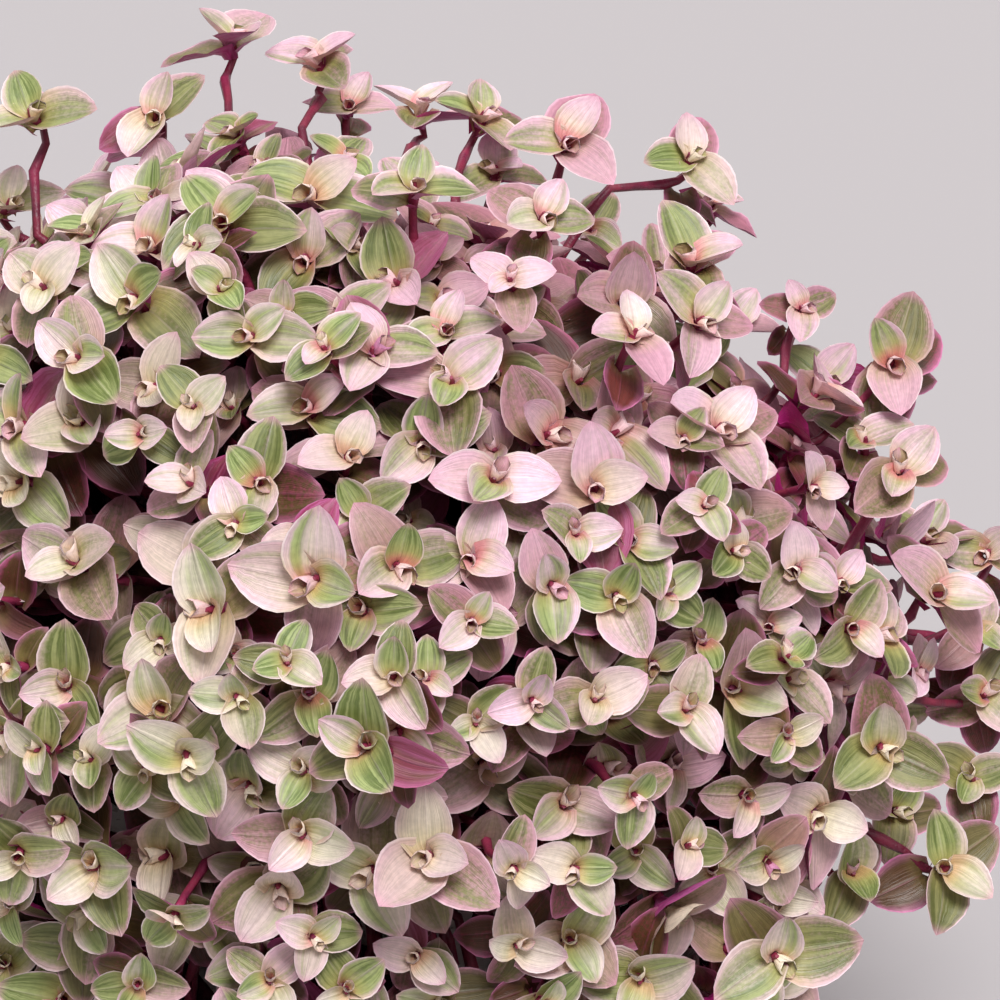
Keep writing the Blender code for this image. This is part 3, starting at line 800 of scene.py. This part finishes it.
def planShoots():
    chance = random.Random(foliage["seed"])
    shoots, tips = [], []

    def addShoot(tip, size, **more):
        tips.append(np.array(tip))
        direction = growDirection(tip, chance, "via" in more)
        shoots.append({"tip": tip, "direction": direction, "size": size, **more})

    def addNamed(tip, via, size):
        addShoot(tip, size, via=via, reach=(tip - moundCentre).length, bare=True)

    for pixel, stemPixel, nearer, size in standingShoots.values():
        via = placeOfPixel(*stemPixel, nearer * foliage["viaNearer"])
        addNamed(placeOfPixel(*pixel, nearer), via, size)
    for pixel, nearer, size in lesserShoots.values():
        tip = placeOfPixel(*pixel, nearer)
        addNamed(tip, tip.lerp(moundCentre, lesserStem), size)
    headings = []
    uneven, fineness = foliage["ragged"]
    while len(headings) < foliage["tries"]:
        heading = randomVector(chance, 1.0).normalized()
        ragged = uneven * noise.noise(Vector((heading.x, heading.y, 0.0)).normalized() * fineness)
        if math.degrees(math.asin(heading.z)) > foliage["lowest"] + ragged:
            headings.append(heading)
    reaches = moundReach(headings)
    bySize = foliage["spacingBySize"]
    for standing in (True, False):
        spacing = foliage["standingSpacing" if standing else "spacing"]
        for heading, reach in zip(headings, reaches):
            if reach == 0.0:
                continue
            size = chance.choice(foliage["sizes"]) * chance.uniform(*foliage["sizeStray"])
            opened = openness(heading, reach)
            if standing:
                besideNamed = heading.dot(viewRight) > foliage["rimLeft"]
                besideNamed &= abs(heading.dot(viewBack)) < foliage["rim"]
                if opened < foliage["openEnough"] or besideNamed:
                    continue
                far = reach * chance.uniform(*foliage["standOut"])
            else:
                far = reach * (1 + chance.uniform(*foliage["sink"]) - foliage["openSink"] * opened)
            tip = moundCentre + heading * far
            gap = min(np.linalg.norm(np.array(tips) - np.array(tip), axis=1))
            if gap > spacing * (1 - bySize + bySize * size):
                shade = 1 - foliage["openShade"] * opened
                addShoot(tip, size, reach=reach, bare=standing, shade=shade)
    pinkSide = Vector(foliage["pinkSide"]).normalized()
    pinker, pinkFrom = foliage["pinkGain"]
    paler, paleFrom = foliage["greenLoss"]
    for shoot in shoots:
        heading = (shoot["tip"] - moundCentre).normalized()
        facing, onRight = heading.dot(pinkSide), max(0.0, heading.x)
        shoot["node"] = nearestSpray(shoot["tip"])
        shoot["turn"] = chance.uniform(0, 2 * math.pi)
        shoot["step"] = math.radians(chance.choice(foliage["turning"]))
        shoot["tone"] = patchy("tone", shoot["tip"], 0, chance)
        shoot["pink"] = patchy("pink", shoot["tip"], 9, chance)
        shoot["pink"] += pinker * max(0.0, facing - pinkFrom)
        shoot["tone"] -= paler * max(0.0, facing - paleFrom)
        shoot["flushShare"] = between(foliage["flushShare"], onRight)
        shoot["ripening"] = foliage["rightRipening"] * onRight
        if "via" in shoot:
            for name, change in foliage["standingChanges"].items():
                shoot[name] += change
    return shoots


# the leaves of one rosette, from its rolled bud down: the shapes each may have, its length in
# leaf lengths, how far below the tip it grows, how far it is raised, its age and its red base
leafLength = 0.0148
rosetteColumns = ("shapes", "length", "drop", "raised", "age", "blush")
rosette = [dict(zip(rosetteColumns, row)) for row in (
    ((0,), 0.36, 0.0010, 64, 0.0, 0.62),
    ((1, 2), 0.70, 0.0008, 38, 0.0, 0.42),
    ((2, 3), 0.88, 0.0018, 24, 0.05, 0.30),
    ((3, 4, 2), 0.98, 0.0032, 13, 0.18, 0.24),
    ((3, 4, 5, 6), 1.0, 0.0050, 5, 0.40, 0.18),
    ((4, 5, 6, 7), 0.98, 0.0078, -3, 0.70, 0.14),
    ((6, 8, 9), 0.92, 0.0115, -8, 0.90, 0.10),
    ((8, 9), 0.84, 0.0165, -12, 1.0, 0.10),
)]
# how far single leaves stray from it; pairs that go by age are for young leaves, then old ones
leafStray = {
    "size": (0.90, 1.05),
    "turn": 0.16,
    "raised": (6, 14),  # by age
    "twist": (0.15, 0.55),  # by age
    "tone": 0.27,
    "toneByAge": 0.52,
    "pink": 0.2,
    "age": 0.07,
    "flush": (0.35, 1.0),
    "flushRank": 3,  # only leaves below this one are flushed
    "blush": (0.5, 1.3),
}
leafRoom = {
    "cell": 0.012,  # leaves look this far for others
    "needed": 0.0024,
    "middle": 0.6,  # of a leaf's length
    "wayCost": 0.05,
    # the ways tried for a leaf: how much more it is raised, and how far it swings
    "ways": [(0, 0), (10, 0), (-10, 0), (0, 16), (0, -16),
             (16, 12), (-14, -12), (22, -14), (-20, 14)],
}
sheathOffset = 0.085  # of the leaf's length, from the stem's middle to the midrib


def leafHeading(shoot, angle):
    first = shoot["direction"].orthogonal().normalized()
    return math.cos(angle) * first + math.sin(angle) * shoot["direction"].cross(first)


def leafPose(shoot, values, size, angle, raised, chance):
    direction = shoot["direction"]
    away = leafHeading(shoot, angle)
    raised = math.radians(raised)
    along = math.cos(raised) * away + math.sin(raised) * direction
    up = math.cos(raised) * direction - math.sin(raised) * away
    across = up.cross(along)
    twist = chance.uniform(-1, 1) * between(leafStray["twist"], values["age"])
    cos, sin = math.cos(twist), math.sin(twist)
    across, up = cos * across + sin * up, cos * up - sin * across
    apex = shoot["tip"] - direction * rosette[0]["length"] * leafLength * shoot["size"]
    base = apex - direction * values["drop"] * shoot["size"]
    base += away * sheathOffset * size
    return base, np.array((along, across, up))


def roomiestWay(ways, kind, size, near):
    # the way in which the leaf comes least close to those near it
    best, bestScore = None, None
    for index, (base, axes) in enumerate(ways):
        probes = leafProbes[kind] * size @ axes + np.array(base)
        score = leafRoom["wayCost"] * index
        if near:
            gaps = np.linalg.norm(probes[:, None] - np.concatenate(near)[None], axis=2)
            score += np.clip(1 - gaps.min(axis=1) / leafRoom["needed"], 0, 1).sum()
        if best is None or score < bestScore:
            best, bestScore = (base, axes, probes), score
    return best


def placeLeaves(shoots):
    # older leaves are placed last, each in the way that leaves it most room
    chance = random.Random(foliage["seed"] + 1)
    taken, leaves, steps = {}, [], (-1, 0, 1)
    for rank, values in enumerate(rosette):
        ripe = values["age"]
        old = ripe > foliage["bareAge"]
        for shoot in shoots:
            if shoot["bare"] and old and chance.random() < foliage["bareShare"]:
                continue
            kind = chance.choice(values["shapes"])
            size = leafLength * shoot["size"] * values["length"]
            size *= chance.uniform(*leafStray["size"])
            angle = shoot["turn"] + rank * shoot["step"] + chance.gauss(0.0, leafStray["turn"])
            raised = values["raised"] + chance.gauss(0.0, between(leafStray["raised"], ripe))
            tries = leafRoom["ways"] if rank else leafRoom["ways"][:1]
            ways = [
                leafPose(shoot, values, size, angle + math.radians(swing), raised + lift, chance)
                for lift, swing in tries]
            middle = np.array(ways[0][0]) + ways[0][1][0] * size * leafRoom["middle"]
            cell = tuple(int(value // leafRoom["cell"]) for value in middle)
            near = [points for x in steps for y in steps for z in steps
                    for points in taken.get((cell[0] + x, cell[1] + y, cell[2] + z), ())]
            base, axes, probes = roomiestWay(ways, kind, size, near)
            taken.setdefault(cell, []).append(probes)
            # the painted deep shade: how far the leaf lies below the outline, less where the mound
            # is open
            depth = shoot["reach"] - (base - moundCentre).length - foliage["deepFrom"]
            depth = clamped(depth / foliage["deepAt"])
            depth *= shoot.get("shade", foliage["standingShade"])
            deepening = foliage["deepening"] * depth + shoot["ripening"]
            deepening *= min(1.0, rank / foliage["deepeningRank"])
            tone = shoot["tone"] + chance.gauss(0.0, leafStray["tone"])
            pink = clamped(shoot["pink"] + chance.gauss(0.0, leafStray["pink"]))
            lean, seed = chance.uniform(-1.0, 1.0), chance.random()
            age = clamped(ripe + chance.gauss(0.0, leafStray["age"]) + deepening)
            flush = 0.0
            if rank > leafStray["flushRank"] and chance.random() < shoot["flushShare"]:
                flush = chance.uniform(*leafStray["flush"])
            leaves.append({
                "node": shoot["node"],
                "base": base,
                "turn": Matrix(axes).transposed().to_euler(),
                "leafSize": size,
                "leafKind": kind,
                "tone": tone + leafStray["toneByAge"] * ripe,
                "pink": pink,
                "lean": lean,
                "seed": seed,
                "age": age,
                "depth": depth,
                "flush": flush,
                "blush": values["blush"] * chance.uniform(*leafStray["blush"]),
            })
    return leaves


# stems, from the holes in the soil to the rosettes
stem = {
    "foot": 0.0019,  # radii: in the soil, where it forks and below the rosette
    "fork": 0.00105,
    "tip": 0.0008,
    "knotWidth": 1.30,
    "endWidth": 0.5,
    "knotEvery": 3,
    "fresh": (0.25, 0.55),  # how fresh it is at its tip, between the knots and on them
    "footDepth": 0.004,  # a spray's foot is what it has this far below the soil's top
    "footWithin": 0.9,  # and within this share of the pot's radius
    "footSteps": 10,
    "shootSteps": 12,
    "wander": 0.0005,
    "crownHub": 0.044,  # from the mound's middle
    "crest": (0.0045, 0.0022),  # outside the pot's rim and above it
    "mix": (0.45, 0.55),  # shares of the two ends in a bend between them
    "end": {"named": 0.008, "crown": 0.015, "trailing": 0.012},  # straight length below the tip
    "apex": 0.8,  # the share of the bud's length at which the stem ends
    "crownBend": (0.5, 0.66),  # how far it keeps to its spray's heading, and how far out
    "fallOut": (0.010, 0.012),  # outside the pot's rim, at the crest and on the way down
    "fallDrop": 0.006,
    "fallMix": (0.35, 0.65),
}


def sprayHub(name):
    # where a spray's shoots fork: the neck of a crown spray, or the crest of a trailing one
    points = sprayPoints[name]
    low = points[points[:, 2] < soilTop - stem["footDepth"]]
    inner = low[np.hypot(low[:, 0], low[:, 1]) < potHigh.x * stem["footWithin"]]
    foot = Vector(inner.mean(axis=0))
    away = points - np.array(moundCentre)
    far = np.linalg.norm(away, axis=1)
    heading = Vector((away[far > foliage["outer"]]).mean(axis=0)).normalized()
    if name.startswith("crown"):
        return foot, heading, moundCentre + heading * stem["crownHub"]
    flat = Vector((heading.x, heading.y, 0.0)).normalized()
    outside, above = stem["crest"]
    return foot, flat, flat * (potHigh.x + outside) + Vector((0.0, 0.0, potHigh.z + above))


def smoothPath(points, count):
    # one curve through a stem's points
    places = [points[0] * 2 - points[1]] + list(points) + [points[-1] * 2 - points[-2]]
    spots = []
    for index in range(count + 1):
        share = index / count * (len(points) - 1)
        part = min(int(share), len(points) - 2)
        share -= part
        before, start, end, after = places[part : part + 4]
        spots.append(0.5 * (2 * start + (end - before) * share
                            + (2 * before - 5 * start + 4 * end - after) * share**2
                            + (3 * start - before - 3 * end + after) * share**3))
    return spots


def shootPath(shoot, heading, hub):
    direction = shoot["direction"]
    bud = direction * rosette[0]["length"] * leafLength * shoot["size"]
    apex = shoot["tip"] - bud * stem["apex"]
    if "via" in shoot:
        first, second = stem["mix"]
        bend = hub * first + shoot["via"] * second
        return [hub, bend, shoot["via"], apex - direction * stem["end"]["named"], apex]
    if shoot["node"].startswith("crown"):
        keep, far = stem["crownBend"]
        outwards = (apex - moundCentre).normalized()
        middle = (outwards + heading * keep).normalized() * (apex - moundCentre).length * far
        return [hub, moundCentre + middle, apex - direction * stem["end"]["crown"], apex]
    flat = Vector((apex.x, apex.y, 0.0)).normalized()
    (first, second), (atCrest, below) = stem["fallMix"], stem["fallOut"]
    crest = flat * (potHigh.x + atCrest) + Vector((0.0, 0.0, hub.z - stem["fallDrop"]))
    fall = flat * (potHigh.x + below) + Vector((0.0, 0.0, first * hub.z + second * apex.z))
    return [hub, crest, fall, apex - direction * stem["end"]["trailing"], apex]


def planStems(shoots):
    chance = random.Random(foliage["seed"] + 2)
    hubs = {name: sprayHub(name) for name in sprayNames}
    stems = []
    first, second = stem["mix"]
    for name, (foot, _, hub) in hubs.items():
        bend = Vector((foot.x, foot.y, first * soilTop + second * hub.z))
        surface = Vector((foot.x, foot.y, soilTop))
        spots = smoothPath([foot, surface, bend, hub], stem["footSteps"])
        widths = [stem["foot"]] * len(spots)
        stems.append({"node": name, "spots": spots, "widths": widths, "fresh": [0.0] * len(spots)})
    for shoot in shoots:
        spots = smoothPath(shootPath(shoot, *hubs[shoot["node"]][1:]), stem["shootSteps"])
        widths, fresh = [], []
        for index in range(len(spots)):
            share = index / (len(spots) - 1)
            width = stem["fork"] * (1 - share) + stem["tip"] * share
            knot = index % stem["knotEvery"] == stem["knotEvery"] - 1
            widest = stem["knotWidth"] if knot else 1.0 if share < 1 else stem["endWidth"]
            widths.append(width * widest)
            fresh.append(stem["fresh"][knot] * share)
            if 0 < index < len(spots) - 2:
                spots[index] = spots[index] + randomVector(chance, stem["wander"])
        stems.append({"node": shoot["node"], "spots": spots, "widths": widths, "fresh": fresh})
    return stems


# a spray's tree: loose points become leaves and chains of edges become stems
def makeSprayTree():
    inputs = [
        ("Geometry", "Geometry", None),
        ("Leaf Shapes", "Collection", None),
        ("Leaf Scale", "Float", 1.0),
        ("Stem Sides", "Int", 5),
        ("Stem Scale", "Float", 1.0),
        ("Size Variation", "Float", 0.03),
        ("Seed", "Int", 5),
        ("Leaf Material", "Material", None),
        ("Stem Material", "Material", None),
    ]
    tree, given, result = newGroup(
        "leafySpray", "GeometryNodeTree", inputs, [("Geometry", "Geometry")])
    add, times = partial(addNode, tree), partial(maths, tree, "MULTIPLY")

    def named(name, kind):
        return add("GeometryNodeInputNamedAttribute", {"Name": name}, data_type=kind).outputs[0]

    def finished(shape, material):
        shape = add("GeometryNodeRealizeInstances", {"Geometry": shape}).outputs[0]
        return add("GeometryNodeSetMaterial", {
            "Geometry": shape, "Material": given[material]}).outputs[0]

    points = add("GeometryNodeMeshToPoints", {
        "Mesh": given["Geometry"], "Selection": named("isLeaf", "BOOLEAN")})
    shapes = add("GeometryNodeCollectionInfo", {
        "Collection": given["Leaf Shapes"], "Separate Children": True, "Reset Children": True})
    vary = add("FunctionNodeRandomValue", {
        "Seed": given["Seed"],
        2: maths(tree, "SUBTRACT", 1.0, given["Size Variation"]),
        3: maths(tree, "ADD", 1.0, given["Size Variation"]),
    }, data_type="FLOAT")
    scale = times(times(named("leafSize", "FLOAT"), given["Leaf Scale"]), vary.outputs[1])
    leaves = add("GeometryNodeInstanceOnPoints", {
        "Points": points.outputs[0], "Instance": shapes.outputs[0], "Pick Instance": True,
        "Instance Index": named("leafKind", "INT"),
        "Rotation": named("leafTurn", "FLOAT_VECTOR"), "Scale": scale})
    curves = add("GeometryNodeMeshToCurve", {"Mesh": given["Geometry"]})
    ring = add("GeometryNodeCurvePrimitiveCircle", {
        "Resolution": given["Stem Sides"], "Radius": 1.0})
    stems = add("GeometryNodeCurveToMesh", {
        "Curve": curves.outputs[0], "Profile Curve": ring.outputs[0],
        "Scale": times(named("stemWidth", "FLOAT"), given["Stem Scale"]), "Fill Caps": True})
    join = tree.nodes.new("GeometryNodeJoinGeometry")
    plug(tree, join.inputs[0], finished(leaves.outputs[0], "Leaf Material"))
    plug(tree, join.inputs[0], finished(stems.outputs[0], "Stem Material"))
    plug(tree, result["Geometry"], join.outputs[0])
    return tree


def plainMesh(thing, name):
    # what an object's modifiers make of it, as a mesh of its own
    graph = bpy.context.evaluated_depsgraph_get()
    mesh = bpy.data.meshes.new_from_object(thing.evaluated_get(graph))
    mesh.name = name
    return mesh


def growMesh(name, mesh, tree, values):
    start = addObject(name + "_plan", mesh)
    modifier = start.modifiers.new("grow", "NODES")
    modifier.node_group = tree
    for item in tree.interface.items_tree:
        if item.in_out == "INPUT" and item.name in values:
            modifier[item.identifier] = values[item.name]
    grown = plainMesh(start, name)
    start.modifiers.remove(modifier)
    bpy.data.objects.remove(start)
    return grown


leafNumbers = ("leafSize", "tone", "pink", "lean", "seed", "age", "depth", "flush", "blush")


def sprayPlan(name, leaves, stems):
    # one mesh: a loose point for each leaf and a chain of edges for each stem
    points, edges, widths, fresh = [leaf["base"] for leaf in leaves], [], [], []
    for path in stems:
        start = len(points)
        points += path["spots"]
        edges += [(index, index + 1) for index in range(start, len(points) - 1)]
        widths += path["widths"]
        fresh += path["fresh"]
    mesh = bpy.data.meshes.new(name + "_plan")
    mesh.from_pydata(points, edges, [])
    count, spare = len(leaves), len(points) - len(leaves)
    for number in leafNumbers:
        values = [leaf[number] for leaf in leaves] + [0.0] * spare
        addNumbers(mesh, number, "FLOAT", "POINT", values)
    addNumbers(mesh, "stemWidth", "FLOAT", "POINT", [0.0] * count + widths)
    addNumbers(mesh, "sheath", "FLOAT", "POINT", [0.0] * count + fresh)
    addNumbers(mesh, "isLeaf", "BOOLEAN", "POINT", [True] * count + [False] * spare)
    kinds = [leaf["leafKind"] for leaf in leaves] + [0] * spare
    addNumbers(mesh, "leafKind", "INT", "POINT", kinds)
    turns = [value for leaf in leaves for value in leaf["turn"]] + [0.0] * (3 * spare)
    addNumbers(mesh, "leafTurn", "FLOAT_VECTOR", "POINT", turns, "vector")
    return mesh


# the tangle that fills the mound behind the leaves: it stands for the leafless growth there, and
# its near black colour is painted shade
tangle = {
    "crownDepth": 0.053,  # from the mound's middle
    "crownRadius": 0.0195,
    "skirtDepth": 0.0045,  # outside the pot's rim
    "skirtDrop": 0.036,  # below it
    "skirtSize": (0.020, 0.0055, 0.024),
    "lumps": (0.28, 2.6),  # how high and how fine
    "differ": 9,  # so that no two have the same lumps
}


def addTangleAndShade(mesh, name, material):
    heading = sprayHub(name)[1]
    blob = bmesh.new()
    blob.from_mesh(mesh)
    before, facesBefore = len(blob.verts), len(blob.faces)
    bmesh.ops.create_icosphere(blob, subdivisions=2, radius=1.0)
    blob.verts.ensure_lookup_table()
    blob.faces.ensure_lookup_table()
    aside = Vector((-heading.y, heading.x, 0.0)).normalized()
    high, fine = tangle["lumps"]
    wide, deep, tall = tangle["skirtSize"]
    for vertex in blob.verts[before:]:
        spot = vertex.co.copy()
        spot *= 1 + high * noise.noise(spot * fine + heading * tangle["differ"])
        if name.startswith("crown"):
            vertex.co = moundCentre + heading * tangle["crownDepth"] + spot * tangle["crownRadius"]
            continue
        centre = heading * (potHigh.x + tangle["skirtDepth"])
        centre.z = potHigh.z - tangle["skirtDrop"]
        spread = aside * spot.x * wide
        vertex.co = centre + spread + heading * spot.y * deep + Vector((0.0, 0.0, spot.z * tall))
    mesh.materials.append(material)
    for face in blob.faces[facesBefore:]:
        face.material_index = len(mesh.materials) - 1
        face.smooth = True
    blob.to_mesh(mesh)
    blob.free()


def keepPiece(name, mesh, node):
    piece = addObject(name, mesh)
    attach(piece, "root")
    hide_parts(node)


def makeSprays():
    shoots = planShoots()
    print("shoots planned:", len(shoots))
    leaves = placeLeaves(shoots)
    print("leaves placed:", len(leaves))
    stems = planStems(shoots)
    shapes = makeLeafCollection()
    tree = makeSprayTree()
    materials = {"Leaf Material": makeLeafMaterial(), "Stem Material": makeStemMaterial()}
    shade = makeTangleShadeMaterial()
    total = 0
    for name in sprayNames:
        own = [leaf for leaf in leaves if leaf["node"] == name]
        plan = sprayPlan(name, own, [path for path in stems if path["node"] == name])
        mesh = growMesh(name + "_foliage", plan, tree, {"Leaf Shapes": shapes, **materials})
        addTangleAndShade(mesh, name, shade)
        keepPiece(name + "_foliage", mesh, name)
        total += sum(len(face.vertices) - 2 for face in mesh.polygons)
    for thing in list(shapes.objects):
        bpy.data.objects.remove(thing)
    print("sprays grown:", len(sprayNames), "with", total, "triangles")


# the pot, turned from its profile
pot = {
    "wall": 0.004,
    "floor": 0.006,
    "lipBand": 0.012,
    "lipProud": 0.0022,
    "foot": 0.050,
    "sides": 128,
    "drains": 3,
    "drainSides": 32,
    "drainRadius": 0.005,
    "drainCircle": 0.026,
    "drainLength": 0.03,  # of the tool that cuts it
    "rounding": 0.0014,
    "merging": 0.00002,
    "sharpFrom": 40,  # degrees
}


def roundedCorner(before, corner, after, radius, steps=4):
    # an arc in place of a corner of the profile
    first = (before - corner).normalized() * radius
    second = (after - corner).normalized() * radius
    spots = []
    for step in range(steps + 1):
        share = step / steps
        spots.append(corner + first * (1 - share) ** 2 + second * share**2)
    return spots


def makePot():
    rim, high = potHigh.x, potHigh.z

    def wallRadius(height):
        return pot["foot"] + (rim - pot["lipProud"] - pot["foot"]) * height / high

    band = high - pot["lipBand"]
    inner = wallRadius(high) - pot["wall"]
    innerFoot = wallRadius(pot["floor"]) - pot["wall"]
    corners = [Vector(corner) for corner in (
        (0.0, pot["floor"]), (innerFoot, pot["floor"]), (inner, high), (rim, high), (rim, band),
        (wallRadius(band), band), (pot["foot"], 0.0), (0.0, 0.0))]
    profile = [corners[0]]
    for before, corner, after in zip(corners, corners[1:], corners[2:]):
        profile += roundedCorner(before, corner, after, pot["rounding"])
    profile.append(corners[-1])
    mesh = bpy.data.meshes.new("pot_plan")
    edges = [(index, index + 1) for index in range(len(profile) - 1)]
    mesh.from_pydata([(spot.x, 0.0, spot.y) for spot in profile], edges, [])
    thing = addObject("pot_plan", mesh)
    screw = thing.modifiers.new("turn", "SCREW")
    screw.steps = screw.render_steps = pot["sides"]
    screw.use_merge_vertices = True
    screw.merge_threshold = pot["merging"]
    drains = bmesh.new()
    for index in range(pot["drains"]):
        turn = Matrix.Rotation(2 * math.pi * index / pot["drains"], 4, "Z")
        place = turn @ Matrix.Translation((pot["drainCircle"], 0.0, 0.0))
        bmesh.ops.create_cone(
            drains, cap_ends=True, segments=pot["drainSides"], radius1=pot["drainRadius"],
            radius2=pot["drainRadius"], depth=pot["drainLength"], matrix=place)
    drainMesh = bpy.data.meshes.new("drains")
    drains.to_mesh(drainMesh)
    drains.free()
    cutter = addObject("drains", drainMesh)
    cut = thing.modifiers.new("drains", "BOOLEAN")
    cut.operation = "DIFFERENCE"
    cut.object = cutter
    turned = plainMesh(thing, "pot_ceramic")
    bpy.data.objects.remove(thing)
    bpy.data.objects.remove(cutter)
    turned.shade_smooth()
    turned.set_sharp_from_angle(angle=math.radians(pot["sharpFrom"]))
    turned.materials.clear()
    turned.materials.append(makePotMaterial())
    keepPiece("pot_ceramic", turned, "pot")
    print("pot turned")


# soil, with crumbs strewn on it
soil = {
    "rings": 16,
    "sides": 72,
    "bumps": 0.0016,
    "bumpScale": 160,
    "level": 0.0006,  # below the CAD's, so that the bumps stay about there
    "gap": 0.0003,  # to the pot's wall
    "crumbs": 42000.0,  # to the square metre
    "crumbSize": (0.0005, 0.0019),
    "crumbLumps": (0.5, 1.7),  # how high and how fine
    "seed": 3,
}


def makeCrumbTree():
    inputs = [
        ("Geometry", "Geometry", None),
        ("Crumb", "Object", None),
        ("Density", "Float", 20000.0),
        ("Smallest", "Float", 0.0005),
        ("Largest", "Float", 0.002),
        ("Seed", "Int", 0),
        ("Soil Material", "Material", None),
    ]
    tree, given, result = newGroup(
        "soilCrumbs", "GeometryNodeTree", inputs, [("Geometry", "Geometry")])
    add, seed = partial(addNode, tree), given["Seed"]
    top = add("GeometryNodeInputNamedAttribute", {"Name": "isTop"}, data_type="BOOLEAN").outputs[0]
    points = add("GeometryNodeDistributePointsOnFaces", {
        "Mesh": given["Geometry"], "Selection": top, "Density": given["Density"], "Seed": seed})
    shape = add("GeometryNodeObjectInfo", {"Object": given["Crumb"]}).outputs["Geometry"]
    sizes = add("FunctionNodeRandomValue", {
        2: given["Smallest"], 3: given["Largest"], "Seed": seed}, data_type="FLOAT").outputs[1]
    turns = add("FunctionNodeRandomValue", {
        0: (0, 0, 0), 1: (6.28, 6.28, 6.28), "Seed": seed}, data_type="FLOAT_VECTOR").outputs[0]
    crumbs = add("GeometryNodeInstanceOnPoints", {
        "Points": points.outputs["Points"], "Instance": shape, "Rotation": turns, "Scale": sizes})
    join = tree.nodes.new("GeometryNodeJoinGeometry")
    plug(tree, join.inputs[0], given["Geometry"])
    plug(tree, join.inputs[0], crumbs.outputs[0])
    whole = add("GeometryNodeRealizeInstances", {"Geometry": join.outputs[0]})
    whole = add("GeometryNodeSetMaterial", {
        "Geometry": whole.outputs[0], "Material": given["Soil Material"]})
    plug(tree, result["Geometry"], whole.outputs[0])
    return tree


def makeSoil():
    low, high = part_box("soil")
    radius, bottom = high.x, low.z
    footRadius = radius - (high.z - low.z) * (potHigh.x - pot["lipProud"] - pot["foot"]) / potHigh.z
    rings, sides = soil["rings"], soil["sides"]
    level = high.z - soil["level"]
    bed = bmesh.new()
    centre = bed.verts.new((0.0, 0.0, level))
    layers = []
    for ring in range(1, rings + 1):
        share = ring / rings
        layer = []
        for side in range(sides):
            angle = 2 * math.pi * side / sides
            spot = Vector((math.cos(angle), math.sin(angle), 0.0)) * share * (radius - soil["gap"])
            rough = noise.noise(spot * soil["bumpScale"]) * soil["bumps"] * (1 - share**6)
            layer.append(bed.verts.new((spot.x, spot.y, level + rough)))
        layers.append(layer)
    edge = [vertex.co for vertex in layers[-1]]
    floor = [bed.verts.new((spot.x * footRadius / radius, spot.y * footRadius / radius, bottom))
             for spot in edge]
    pairs = [(side, (side + 1) % sides) for side in range(sides)]
    topFaces = [bed.faces.new((centre, layers[0][side], layers[0][after])) for side, after in pairs]
    for inside, outside in zip(layers, layers[1:]):
        for side, after in pairs:
            around = inside[side], outside[side], outside[after], inside[after]
            topFaces.append(bed.faces.new(around))
    for side, after in pairs:
        bed.faces.new((layers[-1][side], floor[side], floor[after], layers[-1][after]))
    bed.faces.new(floor[::-1])
    bed.faces.index_update()
    marks = {face.index for face in topFaces}
    mesh = bpy.data.meshes.new("soil_plan")
    bed.to_mesh(mesh)
    bed.free()
    isTop = [index in marks for index in range(len(mesh.polygons))]
    addNumbers(mesh, "isTop", "BOOLEAN", "FACE", isTop)
    crumb = bmesh.new()
    bmesh.ops.create_icosphere(crumb, subdivisions=1, radius=1.0)
    lumpHeight, fine = soil["crumbLumps"]
    for vertex in crumb.verts:
        vertex.co *= 1 + lumpHeight * noise.noise(vertex.co * fine)
    crumbMesh = bpy.data.meshes.new("crumb")
    crumb.to_mesh(crumbMesh)
    crumb.free()
    crumbShape = bpy.data.objects.new("crumb", crumbMesh)
    grown = growMesh("soil_bed", mesh, makeCrumbTree(), {
        "Crumb": crumbShape, "Density": soil["crumbs"], "Smallest": soil["crumbSize"][0],
        "Largest": soil["crumbSize"][1], "Seed": soil["seed"], "Soil Material": makeSoilMaterial()})
    bpy.data.objects.remove(crumbShape)
    grown.shade_smooth()
    keepPiece("soil_bed", grown, "soil")
    print("soil laid:", len(grown.polygons), "faces")


studio = {
    "floorColour": paint(169, 165, 167),
    "worldColour": paint(232, 227, 226),
    "worldStrength": (0.275, 0.83),  # at the horizon and overhead
    # each light's strength, its width in degrees, and where it comes from
    "lights": {
        "window": (3.18, 24, (0.16, -0.60, 1.04)),
        "backLight": (0.8, 60, (-0.50, 0.80, 0.9)),
    },
    "floorSize": 16.0,
    "floorRoughness": 0.9,
    "floorSpecular": 0.1,
}


def makeStudio():
    mesh = bpy.data.meshes.new("floor")
    half = studio["floorSize"] / 2
    corners = [(-half, -half, 0), (half, -half, 0), (half, half, 0), (-half, half, 0)]
    mesh.from_pydata(corners, [], [(0, 1, 2, 3)])
    floor = addObject("floor", mesh)
    material, _, shader = newMaterial("paleFloor")
    shader.inputs["Base Color"].default_value = studio["floorColour"]
    shader.inputs["Roughness"].default_value = studio["floorRoughness"]
    shader.inputs["Specular IOR Level"].default_value = studio["floorSpecular"]
    mesh.materials.append(material)
    world = bpy.data.worlds.new("studio")
    world.use_nodes = True
    tree = world.node_tree
    background = tree.nodes["Background"]
    background.inputs["Color"].default_value = studio["worldColour"]
    way = addNode(tree, "ShaderNodeTexCoord").outputs["Generated"]
    height = addNode(tree, "ShaderNodeSeparateXYZ", {"Vector": way}).outputs["Z"]
    strength = ramp(tree, height, 0.0, 0.8, *studio["worldStrength"])
    plug(tree, background.inputs["Strength"], strength)
    scene.world = world
    for name, (strength, softness, comesFrom) in studio["lights"].items():
        light = bpy.data.lights.new(name, "SUN")
        light.energy = strength
        light.angle = math.radians(softness)
        lamp = addObject(name, light)
        lamp.rotation_mode = "QUATERNION"
        lamp.rotation_quaternion = Vector(comesFrom).to_track_quat("Z", "Y")
    scene.view_settings.view_transform = "Standard"
    print("studio lit")


makeCamera()
makeSprays()
makePot()
makeSoil()
makeStudio()
